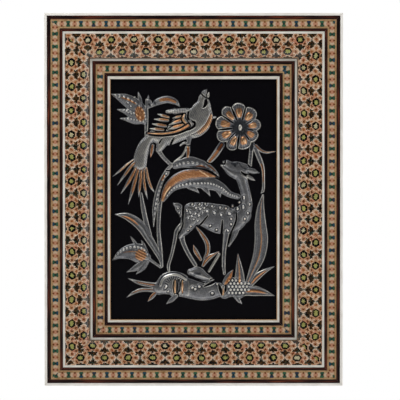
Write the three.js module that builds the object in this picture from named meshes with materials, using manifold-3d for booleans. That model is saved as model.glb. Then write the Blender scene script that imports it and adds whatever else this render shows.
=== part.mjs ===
// Engraved copper wall plaque: a tinned copper relief in a mitred marquetry frame.
// Millimetres, +Z up. The picture faces -Y. The origin is on the back of the top rail,
// at the point that rests against the wall.
import * as THREE from "three";
import { mergeVertices } from "three/addons/utils/BufferGeometryUtils.js";
import Module from "manifold-3d";

const wasm = await Module();
wasm.setup();

// Frame, over all
const FRAME_WIDTH = 240;
const FRAME_HEIGHT = 300;
const FRAME_DEPTH = 18;
const HANG_BELOW_TOP = 25;
const MITRE_CLEARANCE = 0.05;

// Widths of the strips of one rail, from the outer edge to the opening
const EDGING_WIDTH = 2.2;
const OUTER_MARGIN = 3;
const OUTER_MARQUETRY = 7.2;
const OUTER_WOOD_LINE = 2.5;
const OUTER_BONE_LINE = 1.75;
const WIDE_MARQUETRY = 20.2;
const INNER_BONE_LINE = 1.65;
const INNER_WOOD_LINE = 2.8;
const INNER_MARQUETRY = 6.95;
const LIP_MARGIN = 2.65;
const LIP_WIDTH = 2.25;

// The rounded inner part of the wide marquetry
const ROUND_RADIUS = 8.5;
const ROUND_ANGLE = (65 * Math.PI) / 180;
const ROUND_SEGMENTS = 6;

// Depths
const EDGING_DEPTH = 4;
const VENEER = 1.5;
const LIP_THICKNESS = 1;
const LIP_OVERLAP = 4.5;
const PLATE_THICKNESS = 1;
const PLATE_CLEARANCE = 0.5;
const PLATE_FRONT = 11;
const BOARD_THICKNESS = 4;

// Distances from the outer edge of the frame inwards
const MARGIN_AT = EDGING_WIDTH;
const OUTER_MARQUETRY_AT = MARGIN_AT + OUTER_MARGIN;
const OUTER_WOOD_AT = OUTER_MARQUETRY_AT + OUTER_MARQUETRY;
const OUTER_BONE_AT = OUTER_WOOD_AT + OUTER_WOOD_LINE;
const WIDE_AT = OUTER_BONE_AT + OUTER_BONE_LINE;
const INNER_BONE_AT = WIDE_AT + WIDE_MARQUETRY;
const INNER_WOOD_AT = INNER_BONE_AT + INNER_BONE_LINE;
const INNER_MARQUETRY_AT = INNER_WOOD_AT + INNER_WOOD_LINE;
const LIP_MARGIN_AT = INNER_MARQUETRY_AT + INNER_MARQUETRY;
const LIP_AT = LIP_MARGIN_AT + LIP_MARGIN;
const OPENING_AT = LIP_AT + LIP_WIDTH;
const REBATE_AT = OPENING_AT - LIP_OVERLAP;

// Heights above the back of the frame
const ROUND_AT = INNER_BONE_AT - ROUND_RADIUS * Math.sin(ROUND_ANGLE);
const ROUND_CENTRE = FRAME_DEPTH - ROUND_RADIUS;
const STEP_FRONT = ROUND_CENTRE + ROUND_RADIUS * Math.cos(ROUND_ANGLE);
const OUTER_SEAT = FRAME_DEPTH - VENEER;
const INNER_SEAT = STEP_FRONT - VENEER;
const PLATE_BACK = PLATE_FRONT - PLATE_THICKNESS;
const BOARD_BACK = PLATE_BACK - BOARD_THICKNESS;

const PLATE_WIDTH = FRAME_WIDTH - 2 * (REBATE_AT + PLATE_CLEARANCE);
const PLATE_HEIGHT = FRAME_HEIGHT - 2 * (REBATE_AT + PLATE_CLEARANCE);

// Fastenings on the back
const BRAD_RADIUS = 0.5;
const BRAD_LENGTH = 9;
const BRAD_SIDES = 8;
const BRADS_ACROSS = [-0.25, 0.25];
const BRADS_UP = [-0.3, 0.3];
const HANGER_LENGTH = 46;
const HANGER_WIDTH = 9;
const HANGER_SHEET = 0.8;
const HANGER_RISE = 1.6;
const HANGER_FOOT = 7;
const HANGER_RAMP = 3;
const HANGER_TEETH = 9;
const TOOTH_PITCH = 2.6;
const TOOTH_DEPTH = 2;
const HANGER_BELOW_BOARD_TOP = 14;
const NAIL_RADIUS = 2;
const NAIL_HEAD = 0.9;
const NAIL_SIDES = 12;

// Relief
const GROUND_SINK = 0.4;
const STEP_LENGTH = 9;
const MOST_STEPS = 7;
const LEAST_HALF_WIDTH = 0.12;
const FULL_HEIGHT_FROM = 1.2;
const LEAST_RISE = 0.35;
const NARROW = 2.1;
const SPRAY_ROOT = 0.85;
const SPRAY_TIP = 0.2;
const BEAD_SIDES = 6;
const BEAD_CROWN = 0.5;

function material(color, roughness, metalness) {
  return new THREE.MeshStandardMaterial({ color, roughness, metalness });
}

const darkWood = material(0x31201a, 0.5, 0);
const bone = material(0xc4c0b6, 0.4, 0);
const marquetry = material(0x80674f, 0.4, 0);
const tinnedCopper = material(0x6f6f6c, 0.35, 1);
const hardboard = material(0x6b4f38, 0.8, 0);
const steel = material(0x8c8c8a, 0.35, 1);

function polygon(points) {
  return new THREE.Shape(points.map(([x, y]) => new THREE.Vector2(x, y)));
}

// An extrusion of one unit, each of whose points a function puts in its place.
// The function gets the two coordinates of the section and the share of the way along.
function swept(section, steps, place) {
  const geometry = new THREE.ExtrudeGeometry(polygon(section), {
    depth: 1,
    steps,
    bevelEnabled: false,
  });
  const position = geometry.getAttribute("position");
  for (let i = 0; i < position.count; i++) {
    const placed = place(position.getX(i), position.getY(i), position.getZ(i));
    position.setXYZ(i, ...placed);
  }
  geometry.computeVertexNormals();
  return geometry;
}

function solid(geometry) {
  const bare = geometry.index ? geometry.toNonIndexed() : geometry.clone();
  bare.deleteAttribute("normal");
  bare.deleteAttribute("uv");
  const merged = mergeVertices(bare, 1e-4);
  const mesh = new wasm.Mesh({
    numProp: 3,
    vertProperties: merged.getAttribute("position").array,
    triVerts: new Uint32Array(merged.index.array),
  });
  return new wasm.Manifold(mesh);
}

function geometryOf(manifold) {
  const mesh = manifold.getMesh();
  const geometry = new THREE.BufferGeometry();
  geometry.setAttribute("position", new THREE.BufferAttribute(mesh.vertProperties, 3));
  geometry.setIndex(new THREE.BufferAttribute(mesh.triVerts, 1));
  geometry.computeVertexNormals();
  return geometry;
}

function part(name, geometry, finish) {
  const mesh = new THREE.Mesh(geometry, finish);
  mesh.name = name;
  return mesh;
}

// Sections of the frame: pairs of distance from the outer edge and height above the back

function band(from, width, bottom, top) {
  return [
    [from, bottom],
    [from + width, bottom],
    [from + width, top],
    [from, top],
  ];
}

// The rounded face, or the seat under it, from its flat end to its steep end
function rounding(depth) {
  const points = [];
  for (let i = 0; i <= ROUND_SEGMENTS; i++) {
    const turn = (ROUND_ANGLE * i) / ROUND_SEGMENTS;
    points.push([
      ROUND_AT + (ROUND_RADIUS - depth) * Math.sin(turn),
      ROUND_CENTRE + (ROUND_RADIUS - depth) * Math.cos(turn),
    ]);
  }
  return points;
}

function wideMarquetrySection() {
  return [
    [WIDE_AT, FRAME_DEPTH],
    ...rounding(0),
    [INNER_BONE_AT, INNER_SEAT],
    ...rounding(VENEER).reverse(),
    [WIDE_AT, OUTER_SEAT],
  ];
}

function railSection() {
  return [
    [0, 0],
    [0, FRAME_DEPTH - EDGING_DEPTH],
    [MARGIN_AT, FRAME_DEPTH - EDGING_DEPTH],
    [MARGIN_AT, FRAME_DEPTH],
    [OUTER_MARQUETRY_AT, FRAME_DEPTH],
    [OUTER_MARQUETRY_AT, OUTER_SEAT],
    [OUTER_WOOD_AT, OUTER_SEAT],
    [OUTER_WOOD_AT, FRAME_DEPTH],
    [OUTER_BONE_AT, FRAME_DEPTH],
    [OUTER_BONE_AT, OUTER_SEAT],
    [WIDE_AT, OUTER_SEAT],
    ...rounding(VENEER),
    [INNER_BONE_AT, INNER_SEAT],
    [INNER_WOOD_AT, INNER_SEAT],
    [INNER_WOOD_AT, STEP_FRONT],
    [INNER_MARQUETRY_AT, STEP_FRONT],
    [INNER_MARQUETRY_AT, INNER_SEAT],
    [LIP_MARGIN_AT, INNER_SEAT],
    [LIP_MARGIN_AT, STEP_FRONT],
    [LIP_AT, STEP_FRONT],
    [LIP_AT, STEP_FRONT - LIP_THICKNESS],
    [OPENING_AT, STEP_FRONT - LIP_THICKNESS],
    [OPENING_AT, PLATE_FRONT],
    [REBATE_AT, PLATE_FRONT],
    [REBATE_AT, 0],
  ];
}

const stripSections = [
  ["rail", railSection(), darkWood],
  ["bone_edging", band(0, EDGING_WIDTH, FRAME_DEPTH - EDGING_DEPTH, FRAME_DEPTH), bone],
  ["outer_marquetry", band(OUTER_MARQUETRY_AT, OUTER_MARQUETRY, OUTER_SEAT, FRAME_DEPTH), marquetry],
  ["outer_bone_line", band(OUTER_BONE_AT, OUTER_BONE_LINE, OUTER_SEAT, FRAME_DEPTH), bone],
  ["wide_marquetry", wideMarquetrySection(), marquetry],
  ["inner_bone_line", band(INNER_BONE_AT, INNER_BONE_LINE, INNER_SEAT, STEP_FRONT), bone],
  ["inner_marquetry", band(INNER_MARQUETRY_AT, INNER_MARQUETRY, INNER_SEAT, STEP_FRONT), marquetry],
  ["bone_lip", band(LIP_AT, LIP_WIDTH, STEP_FRONT - LIP_THICKNESS, STEP_FRONT), bone],
];

// A mitred length of a section, lying along X at the upper side of the frame
function mitred(section, length, across) {
  return swept(section, 1, (inwards, height, share) => {
    const reach = length / 2 - inwards - MITRE_CLEARANCE;
    return [(1 - 2 * share) * reach, across / 2 - inwards, height];
  });
}

function frameSide(side, turn, length, across) {
  const group = new THREE.Group();
  group.rotation.z = turn;
  for (const [name, section, finish] of stripSections) {
    group.add(part(side + "_" + name, mitred(section, length, across), finish));
  }
  return group;
}

// Relief: each form is a ridge swept along a smooth spine, with half widths set at even
// steps along it. Places are in the plane of the plate, from the middle of the opening.

const SECTIONS = {
  dome: [
    [-1.07, -1],
    [-0.7, 0.76],
    [0, 1],
    [0.7, 0.76],
    [1.07, -1],
  ],
  leaf: [
    [-1.05, -1],
    [-0.84, 0.92],
    [-0.42, 0.56],
    [0, 0.96],
    [0.42, 0.56],
    [0.84, 0.92],
    [1.05, -1],
  ],
  stem: [
    [-1.05, -1],
    [-0.62, 1],
    [0, 0.6],
    [0.62, 1],
    [1.05, -1],
  ],
};

const relief = [];

// The value at a share of the way along evenly spaced keys, on a smooth curve through them
function along(keys, share) {
  const curve = new THREE.SplineCurve(keys.map((value, i) => new THREE.Vector2(i, value)));
  return Math.max(curve.getPoint(share).y, LEAST_HALF_WIDTH);
}

function ridge(points, halfWidths, high, kind = "leaf") {
  const section = kind === "leaf" && Math.max(...halfWidths) < NARROW ? SECTIONS.dome : SECTIONS[kind];
  const spine = new THREE.SplineCurve(points.map(([x, y]) => new THREE.Vector2(x, y)));
  const steps = Math.min(MOST_STEPS, Math.max(2, Math.round(spine.getLength() / STEP_LENGTH)));
  const geometry = swept(section, steps, (across, up, share) => {
    const at = spine.getPoint(share);
    const ahead = spine.getTangent(share);
    const half = along(halfWidths, share);
    const rise = high * Math.min(1, Math.max(LEAST_RISE, half / FULL_HEIGHT_FROM));
    const height = up < 0 ? -GROUND_SINK : up * rise;
    return [at.x - ahead.y * across * half, at.y + ahead.x * across * half, PLATE_FRONT + height];
  });
  relief.push(solid(geometry));
}

function polar([x, y], radius, degrees) {
  const turn = (degrees * Math.PI) / 180;
  return [x + radius * Math.cos(turn), y + radius * Math.sin(turn)];
}

function between([ax, ay], [bx, by], share) {
  return [ax + (bx - ax) * share, ay + (by - ay) * share];
}

// A pointed spray from a root to a tip, widest part way along
function spray(root, tip, half, high, kind = "leaf", bow = 0) {
  const [mx, my] = between(root, tip, 0.5);
  const length = Math.hypot(tip[0] - root[0], tip[1] - root[1]);
  const middle = [mx - (bow * (tip[1] - root[1])) / length, my + (bow * (tip[0] - root[0])) / length];
  ridge([root, middle, tip], [half * SPRAY_ROOT, half, SPRAY_TIP], high, kind);
}

// A raised spot, on the ground or on what it stands over
function bead([x, y], halfWidth, halfHeight, high) {
  const height = high + GROUND_SINK;
  const spot = new THREE.CylinderGeometry(BEAD_CROWN, 1, height, BEAD_SIDES);
  spot.rotateX(Math.PI / 2);
  spot.scale(halfWidth, halfHeight, 1);
  spot.translate(x, y, PLATE_FRONT - GROUND_SINK + height / 2);
  relief.push(solid(spot));
}

function leftPlant() {
  ridge([[-42.4, 5], [-40.4, -6], [-38.6, -17], [-35.5, -28]], [1.2, 2, 2.1, 1.8], 1.1, "stem");
  ridge(
    [[-63.4, -12], [-53, -14], [-43, -21], [-36, -31.5], [-27.5, -46], [-25.5, -54]],
    [0.2, 3, 3.9, 3.3, 2.2, 1],
    1.2,
  );
  ridge(
    [[-26.8, -1], [-28, -12], [-28.3, -25], [-27, -40], [-25.6, -54]],
    [1.8, 1.7, 1.6, 1.8, 1.2],
    1.2,
    "stem",
  );
  ridge([[-32.5, -22], [-32.4, -8], [-29.5, 6], [-24.5, 17], [-18.5, 26]], [0.3, 1.9, 2.3, 2.4, 1.4], 1.1);
}

function archingLeaf() {
  ridge(
    [[-17.2, 25], [-12, 29], [-4, 31], [5, 29.5], [13, 25.5], [19.5, 17]],
    [1, 2.2, 3.3, 3.2, 2.6, 1.2],
    1.3,
  );
  ridge(
    [[-25.5, -2], [-22, 7.5], [-15.5, 14.5], [-4, 20], [8, 20], [18.5, 14.5]],
    [1.6, 3, 4.6, 5.2, 4.9, 2.6],
    1.5,
    "dome",
  );
  ridge(
    [[-24, 0], [-17, 9], [-8, 12], [4, 12.6], [15, 11], [22, 7.5], [29, 2.6], [36.8, 2]],
    [0.9, 1.7, 2, 2.1, 2.6, 3.2, 2.4, 2],
    1.3,
  );
  const barbs = [
    [[-4, 11], [4.9, 4.7]],
    [[7, 11], [13.6, 2]],
    [[17, 9], [21.9, 1]],
  ];
  for (const [root, tip] of barbs) {
    spray(root, tip, 1.7, 1, "dome", 1);
  }
}

function flowerStems() {
  ridge([[24, 46], [17.5, 36.5], [12.4, 30.5]], [2.4, 2.5, 2.4], 1.2, "stem");
  ridge([[46.8, 45], [45.9, 38], [45.2, 27.5]], [2.2, 2.1, 2.1], 1.2, "stem");
  ridge([[49, 42], [52.3, 33], [55.5, 22], [56, 12], [54.8, 5]], [1.4, 1.4, 1.5, 1.4, 0.9], 1.1, "stem");
  ridge([[50, 43], [54.2, 39.4], [59, 37.8], [66.2, 38.7]], [1.5, 1.3, 0.9, 0.2], 1, "dome");
}

function tallLeaf() {
  ridge(
    [[56, 4], [54, -7], [53.8, -20], [54.6, -33], [52.6, -46], [47.3, -58], [43.5, -66.5]],
    [0.7, 3.2, 4.8, 5.4, 5, 3.4, 2],
    1.5,
  );
}

function upperBud() {
  ridge([[-37.8, 80], [-37.8, 66], [-38.4, 51]], [1.2, 1.4, 1.3], 1.1, "stem");
  ridge([[-38.6, 62], [-45, 71], [-54, 79.5], [-66.5, 84.7]], [1.5, 5.2, 4.9, 0.2], 1.4);
  ridge([[-39.5, 61.5], [-47, 66.5], [-54, 70.5], [-61.6, 72.4]], [2, 3.9, 2.3, 0.2], 1.4);
  ridge([[-39.3, 61.5], [-46, 63], [-52, 64.2], [-59.3, 65.2]], [0.8, 2.4, 1.9, 0.2], 1.4);
  spray([-41.2, 73], [-44.6, 86.5], 2, 1.3);
  bead([-35.9, 77.4], 2.6, 2.9, 1.2);
  spray([-37, 79], [-36.3, 84], 0.8, 0.8, "dome");
  ridge(
    [[-35.5, 74.2], [-29, 78.2], [-20.5, 80.5], [-14.5, 78.8], [-11.1, 74.7]],
    [1.4, 2.9, 3, 2.3, 0.3],
    1.2,
  );
}

function lowerBud() {
  ridge([[-27, -55], [-31, -52], [-35.5, -49]], [1.2, 1.2, 1.4], 1.1, "dome");
  ridge(
    [[-35.2, -48.6], [-43, -44.5], [-53, -43.3], [-60, -45.5], [-65.6, -49.2]],
    [1.2, 7.4, 6.2, 3.2, 0.2],
    1.6,
  );
  spray([-37, -49], [-54.3, -58.9], 2.6, 1.2, "leaf", 0.8);
  spray([-36.5, -50], [-47, -60.7], 2, 1.2, "leaf", 0.6);
  spray([-45.6, -37], [-51.2, -28.8], 1.1, 0.9, "dome");
  spray([-38.6, -40], [-42.4, -32.8], 1.1, 0.9, "dome");
}

// Seven tail feathers in a fan below the hatched rump
function birdTail() {
  const tips = [
    [-64.7, 19],
    [-61.6, 11],
    [-58.8, 4.1],
    [-53.1, -4.8],
    [-44.6, 2.5],
    [-36.7, -0.3],
    [-31.5, 5.2],
  ];
  const fanLeft = [-50.5, 29];
  const fanRight = [-38.8, 25.5];
  tips.forEach((tip, i) => {
    spray(between(fanLeft, fanRight, i / (tips.length - 1)), tip, 1.3, 1.2);
  });
  ridge([[-34.5, 50], [-38.5, 41], [-42.6, 32], [-43.8, 25]], [3.5, 5, 6, 5], 1.7, "dome");
  spray([-32.6, 43], [-35.2, 34.7], 1.5, 1);
}

function birdLegs() {
  ridge([[-23, 47], [-25, 43.5], [-27.6, 38.6]], [5, 3.8, 1.8], 1.6, "dome");
  ridge([[-28, 39], [-23.4, 33.9], [-18.2, 29], [-22.2, 22.5]], [1.7, 1.5, 1.6, 0.7], 1.2, "dome");
  ridge([[-3.6, 50], [-4.4, 44], [-5.2, 40]], [2.6, 1.9, 1.6], 1.3, "dome");
  ridge([[-4.6, 42], [-6.4, 38.4], [-9.4, 34.6], [-15.2, 30.6]], [1.4, 1.3, 1.2, 0.4], 1.4, "dome");
  ridge([[-4.6, 41], [-4.2, 38], [-4.6, 34.4]], [1.4, 1.4, 0.9], 1.4, "dome");
  ridge([[-6, 43.6], [-8.5, 44], [-11.2, 43]], [1, 1, 0.5], 1.1, "dome");
}

function birdBody() {
  ridge([[-33, 51], [-22, 50], [-10, 57], [0, 62], [6, 67.5]], [5, 7.2, 10, 12.4, 9.5], 1.5, "dome");
  ridge([[-29, 69.2], [-18, 69.8], [-6, 68]], [1.2, 2.6, 5], 1.5, "dome");
  ridge([[4, 62], [6, 70], [8, 77], [8.6, 81.8]], [9.6, 9, 6.6, 3.6], 1.8, "dome");
  spray([5.8, 81], [10.3, 88.4], 2.2, 1.4, "dome");
  spray([10.9, 81.5], [12.1, 86.3], 1.2, 1.4, "dome");
}

// Two rows of feathers, the long lower one and the shoulder, standing over the body
function birdWing() {
  const high = 2.1;
  const outerRow = [
    [[-17.5, 66.8], [-29, 68.8]],
    [[-19.5, 63.2], [-31.6, 64.7]],
    [[-20.5, 59.2], [-33.4, 60.8]],
    [[-22, 55.6], [-35.7, 57]],
  ];
  const innerRow = [
    [[-6.5, 67.2], [-17.2, 65.6]],
    [[-5.5, 64], [-19.8, 60.2]],
    [[-5, 60.5], [-21.9, 55.7]],
  ];
  for (const [root, tip] of [...outerRow, ...innerRow]) {
    spray(root, tip, 1.5, high);
  }
  ridge(
    [[1.3, 63], [-3, 58.6], [-9, 55], [-17, 52.8], [-26, 51.9], [-37.4, 53]],
    [1.8, 1.7, 1.4, 1.3, 1.2, 0.3],
    high,
    "dome",
  );
  ridge([[-7.4, 67.5], [-5.4, 63.5], [-3.4, 60.5]], [1.6, 1.7, 1.2], high, "dome");
}

const FLOWER_CENTRE = [37.5, 57.8];
const PETALS = 9;
const FIRST_PETAL = 96;
const PETAL_REACH = 19;
const PETAL_HALF_WIDTH = 5.1;
const PETAL_SHARES = [0.24, 0.45, 0.72, 0.9, 1];

// Hand-drawn petals: each one's turn, reach and width wander a little from even
function flower() {
  const wander = [0, 5, 0.5, -18, -12, -3, -5.5, -7.5, 0];
  const reachShare = [1.07, 0.97, 0.91, 0.91, 0.96, 1.03, 1.07, 1.08, 1.08];
  const widthShare = [1.15, 0.9, 0.96, 1, 1, 0.83, 1, 1, 0.83];
  for (let i = 0; i < PETALS; i++) {
    const turn = FIRST_PETAL - (i * 360) / PETALS + wander[i];
    const reach = PETAL_REACH * reachShare[i];
    const half = PETAL_HALF_WIDTH * widthShare[i];
    const points = PETAL_SHARES.map((share) => polar(FLOWER_CENTRE, reach * share, turn));
    ridge(points, [1.4, half * 0.7, half, half * 0.9, half * 0.35], 1.6);
  }
  bead(FLOWER_CENTRE, 1.6, 2.4, 1.4);
}

function doeLegs() {
  ridge(
    [[-12, -18], [-14.2, -27], [-15.2, -34], [-17.8, -44], [-20.4, -54], [-19.8, -58.3]],
    [1.8, 2, 1.5, 1.4, 1.3, 1],
    1.3,
    "stem",
  );
  ridge([[-9.5, -29], [-8, -36], [-4, -44], [3.6, -55]], [2.6, 1.8, 1.6, 1.5], 1.2, "stem");
  ridge([[34, -26], [32.5, -31], [27.5, -38.5]], [2, 1.5, 0.9], 1.1, "dome");
  ridge([[21.5, -43.5], [17, -50.5], [12.2, -58.4]], [1.5, 1.4, 1.1], 1.3, "dome");
  ridge(
    [[27, -14], [26.4, -25], [24.8, -34], [24, -45], [24.2, -60.5]],
    [4.6, 3.3, 2, 1.8, 1.2],
    2.2,
    "stem",
  );
}

function doeBody() {
  ridge([[-16.6, -2.7], [-12.6, -5.5], [-10, -9], [-9.5, -13]], [0.3, 3.2, 3.8, 1.5], 1.3);
  ridge([[-1.5, -11], [-5, -18], [-8.5, -24], [-11, -31]], [8.2, 7.2, 4.4, 1.7], 2, "dome");
  ridge(
    [[-1, -11], [9, -12.3], [21, -15.8], [31, -16.5], [39, -12.5]],
    [8.6, 9.8, 11.8, 10.5, 7.5],
    1.9,
    "dome",
  );
  ridge(
    [[39.5, -13], [42.6, -4], [41.5, 5], [38.5, 13.5], [37, 20]],
    [6.5, 5.2, 4.2, 4.4, 5.4],
    1.9,
    "dome",
  );
}

// Rows of raised spots along the back and down the shoulder
function doeSpots() {
  const radius = 1.15;
  const high = 2.5;
  const rows = [
    { from: [-2, -5.5], to: [30, -7.2], count: 8 },
    { from: [-4, -10.5], to: [34, -10.5], count: 8 },
    { from: [29.5, -12.5], to: [28, -25], count: 4 },
    { from: [36, -3.5], to: [40.5, 3.5], count: 2 },
  ];
  for (const { from, to, count } of rows) {
    for (let i = 0; i < count; i++) {
      bead(between(from, to, i / (count - 1)), radius, radius, high);
    }
  }
}

function doeHead() {
  ridge([[40, 23], [34, 25], [28.5, 26.5], [24.6, 28.6]], [5.8, 6, 4.2, 1.4], 1.8, "dome");
  ridge([[26.5, 25], [24.7, 25.9], [23, 26.8]], [2, 1.6, 1], 1.5, "dome");
  spray([42.5, 25], [52.9, 21.3], 2.2, 1.8);
  spray([42.5, 21], [49.6, 15.1], 1.8, 1.4);
}

function plantBetweenLegs() {
  ridge([[2.2, -22.6], [7.2, -27], [10.4, -35], [9, -46]], [0.6, 1.6, 2.1, 1.6], 1.1);
  spray([6.4, -49.5], [-0.4, -36.4], 1.7, 1.1, "leaf", 0.7);
  ridge([[21.6, -41.4], [15.5, -45.5], [10.5, -49], [7, -54]], [0.3, 2.1, 2.3, 0.5], 1.1);
}

function groundMounds() {
  ridge([[-28, -72], [-20, -68.6], [-12, -69.5], [-5, -72]], [6.5, 9.5, 9.5, 8], 1.7, "dome");
  ridge([[-3, -72], [6, -74], [14, -73.8], [21, -73.5]], [8, 7.6, 7, 5.6], 1.5, "dome");
  ridge([[-3.4, -60], [3, -59.4], [9, -62.4], [15.8, -65]], [2.6, 4.4, 3.4, 1], 1.6, "dome");
  ridge([[14, -65.8], [21, -65.2], [26, -64]], [0.8, 1.4, 1.2], 1, "dome");
  ridge([[24, -76], [30, -72], [37, -72], [44, -72.5]], [5, 8.6, 9, 6], 1.4, "dome");
}

// The beaded patch at the foot of the right-hand leaves
function groundBeads() {
  const pitch = 3.4;
  const rows = 4;
  const beadsInRow = 4;
  const radius = 1.15;
  const first = [29, -67];
  for (let row = 0; row < rows; row++) {
    const shift = row % 2 ? pitch / 2 : 0;
    for (let i = 0; i < beadsInRow; i++) {
      bead([first[0] + shift + i * pitch, first[1] - row * pitch * 0.87], radius, radius, 1.9);
    }
  }
}

function groundLeaves() {
  ridge([[-30, -69.3], [-37, -68.6], [-44.5, -67.1], [-52.6, -64.1]], [2.2, 1.9, 1.6, 0.2], 1.1);
  ridge([[-30, -73.6], [-41, -73], [-48.5, -75], [-54.2, -79.4]], [1.6, 1.6, 1.3, 0.2], 1.1, "dome");
  spray([-29, -74], [-36.7, -82.5], 1.5, 1, "dome");
  spray([-13, -78], [-21.9, -84.3], 1.7, 1, "dome");
  spray([36, -79], [39.4, -84.4], 1.5, 1, "dome");
  ridge([[35.8, -44], [36.4, -52], [36.8, -60], [37, -67]], [0.3, 2, 3.6, 4.6], 1.5);
  ridge([[44.5, -69.5], [50, -63.2], [57, -58.2], [65.3, -54.5]], [2.4, 3.3, 2, 0.2], 1.4);
  ridge([[40, -75], [48.5, -74.3], [56.5, -75.6], [66.2, -77.7]], [3.4, 4.2, 3.2, 0.2], 1.4);
  spray([24.6, -67], [31.6, -56.8], 2, 1.3);
}

function engravedPlate() {
  const forms = [
    leftPlant, archingLeaf, flowerStems, tallLeaf, upperBud, lowerBud,
    birdTail, birdLegs, birdBody, birdWing, flower,
    doeLegs, doeBody, doeSpots, doeHead, plantBetweenLegs,
    groundMounds, groundBeads, groundLeaves,
  ];
  forms.forEach((form) => form());
  const sheet = new THREE.BoxGeometry(PLATE_WIDTH, PLATE_HEIGHT, PLATE_THICKNESS);
  sheet.translate(0, 0, PLATE_BACK + PLATE_THICKNESS / 2);
  const raised = relief.reduce((whole, form) => whole.add(form), solid(sheet));
  return part("engraved_copper_plate", geometryOf(raised), tinnedCopper);
}

function backingBoard() {
  const board = part(
    "backing_board",
    new THREE.BoxGeometry(PLATE_WIDTH, PLATE_HEIGHT, BOARD_THICKNESS),
    hardboard,
  );
  board.position.z = BOARD_BACK + BOARD_THICKNESS / 2;
  return board;
}

// Brads lie flat on the board, with one end against the wall of the rebate
function backingBrads() {
  const group = new THREE.Group();
  const flat = BRAD_RADIUS * Math.cos(Math.PI / BRAD_SIDES);
  const wallX = FRAME_WIDTH / 2 - REBATE_AT;
  const wallY = FRAME_HEIGHT / 2 - REBATE_AT;
  const places = [];
  for (const side of [-1, 1]) {
    for (const share of BRADS_UP) {
      places.push([side * (wallX - BRAD_LENGTH / 2), share * PLATE_HEIGHT, Math.PI / 2]);
    }
    for (const share of BRADS_ACROSS) {
      places.push([share * PLATE_WIDTH, side * (wallY - BRAD_LENGTH / 2), 0]);
    }
  }
  places.forEach(([x, y, turn], i) => {
    const rod = new THREE.CylinderGeometry(BRAD_RADIUS, BRAD_RADIUS, BRAD_LENGTH, BRAD_SIDES);
    rod.rotateY(Math.PI / BRAD_SIDES);
    const brad = part("backing_brad_" + (i + 1), rod, steel);
    brad.rotation.z = turn;
    brad.position.set(x, y, BOARD_BACK - flat);
    group.add(brad);
  });
  return group;
}

function sawtoothHanger() {
  const half = HANGER_LENGTH / 2;
  const foot = half - HANGER_FOOT;
  const crest = foot - HANGER_RAMP;
  const path = [
    [-half, 0],
    [-foot, 0],
    [-crest, -HANGER_RISE],
    [crest, -HANGER_RISE],
    [foot, 0],
    [half, 0],
  ];
  const under = path.map(([x, z]) => [x, z - HANGER_SHEET]).reverse();
  const bent = swept([...path, ...under], 1, (x, z, share) => [
    x,
    (0.5 - share) * HANGER_WIDTH,
    z,
  ]);
  let cut = solid(bent);
  for (let i = 0; i < HANGER_TEETH; i++) {
    const x = (i - (HANGER_TEETH - 1) / 2) * TOOTH_PITCH;
    const notch = new THREE.ExtrudeGeometry(
      polygon([
        [x - TOOTH_PITCH / 2, -HANGER_WIDTH / 2 - 1],
        [x + TOOTH_PITCH / 2, -HANGER_WIDTH / 2 - 1],
        [x, -HANGER_WIDTH / 2 + TOOTH_DEPTH],
      ]),
      { depth: 4 * HANGER_RISE, bevelEnabled: false },
    );
    notch.translate(0, 0, -3 * HANGER_RISE);
    cut = cut.subtract(solid(notch));
  }
  const hanger = part("sawtooth_hanger", geometryOf(cut), steel);
  hanger.position.set(0, PLATE_HEIGHT / 2 - HANGER_BELOW_BOARD_TOP, BOARD_BACK);
  return hanger;
}

function hangerNail(side, name) {
  const profile = [
    [0, 0],
    [NAIL_RADIUS, 0],
    [NAIL_RADIUS * 0.8, NAIL_HEAD * 0.7],
    [0, NAIL_HEAD],
  ];
  const outline = profile.map(([x, y]) => new THREE.Vector2(x, y));
  const head = new THREE.LatheGeometry(outline, NAIL_SIDES);
  head.rotateX(-Math.PI / 2);
  const nail = part(name, head, steel);
  nail.position.set(
    side * (HANGER_LENGTH / 2 - HANGER_FOOT / 2),
    PLATE_HEIGHT / 2 - HANGER_BELOW_BOARD_TOP,
    BOARD_BACK - HANGER_SHEET,
  );
  return nail;
}

const plaque = new THREE.Group();
// The plaque is drawn lying on its back, face up, then stood up with its face to -Y.
plaque.rotation.x = Math.PI / 2;
plaque.position.z = HANG_BELOW_TOP - FRAME_HEIGHT / 2;
plaque.add(frameSide("top", 0, FRAME_WIDTH, FRAME_HEIGHT));
plaque.add(frameSide("left", Math.PI / 2, FRAME_HEIGHT, FRAME_WIDTH));
plaque.add(frameSide("bottom", Math.PI, FRAME_WIDTH, FRAME_HEIGHT));
plaque.add(frameSide("right", -Math.PI / 2, FRAME_HEIGHT, FRAME_WIDTH));
plaque.add(engravedPlate());
plaque.add(backingBoard());
plaque.add(backingBrads());
plaque.add(sawtoothHanger());
plaque.add(hangerNail(-1, "hanger_nail_left"));
plaque.add(hangerNail(1, "hanger_nail_right"));

export default plaque;
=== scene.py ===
"""Engraved copper wall plaque: its relief, inlaid frame, backing and studio."""
import math

import bmesh
import bpy
import numpy as np
from mathutils import Matrix, Vector


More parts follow.
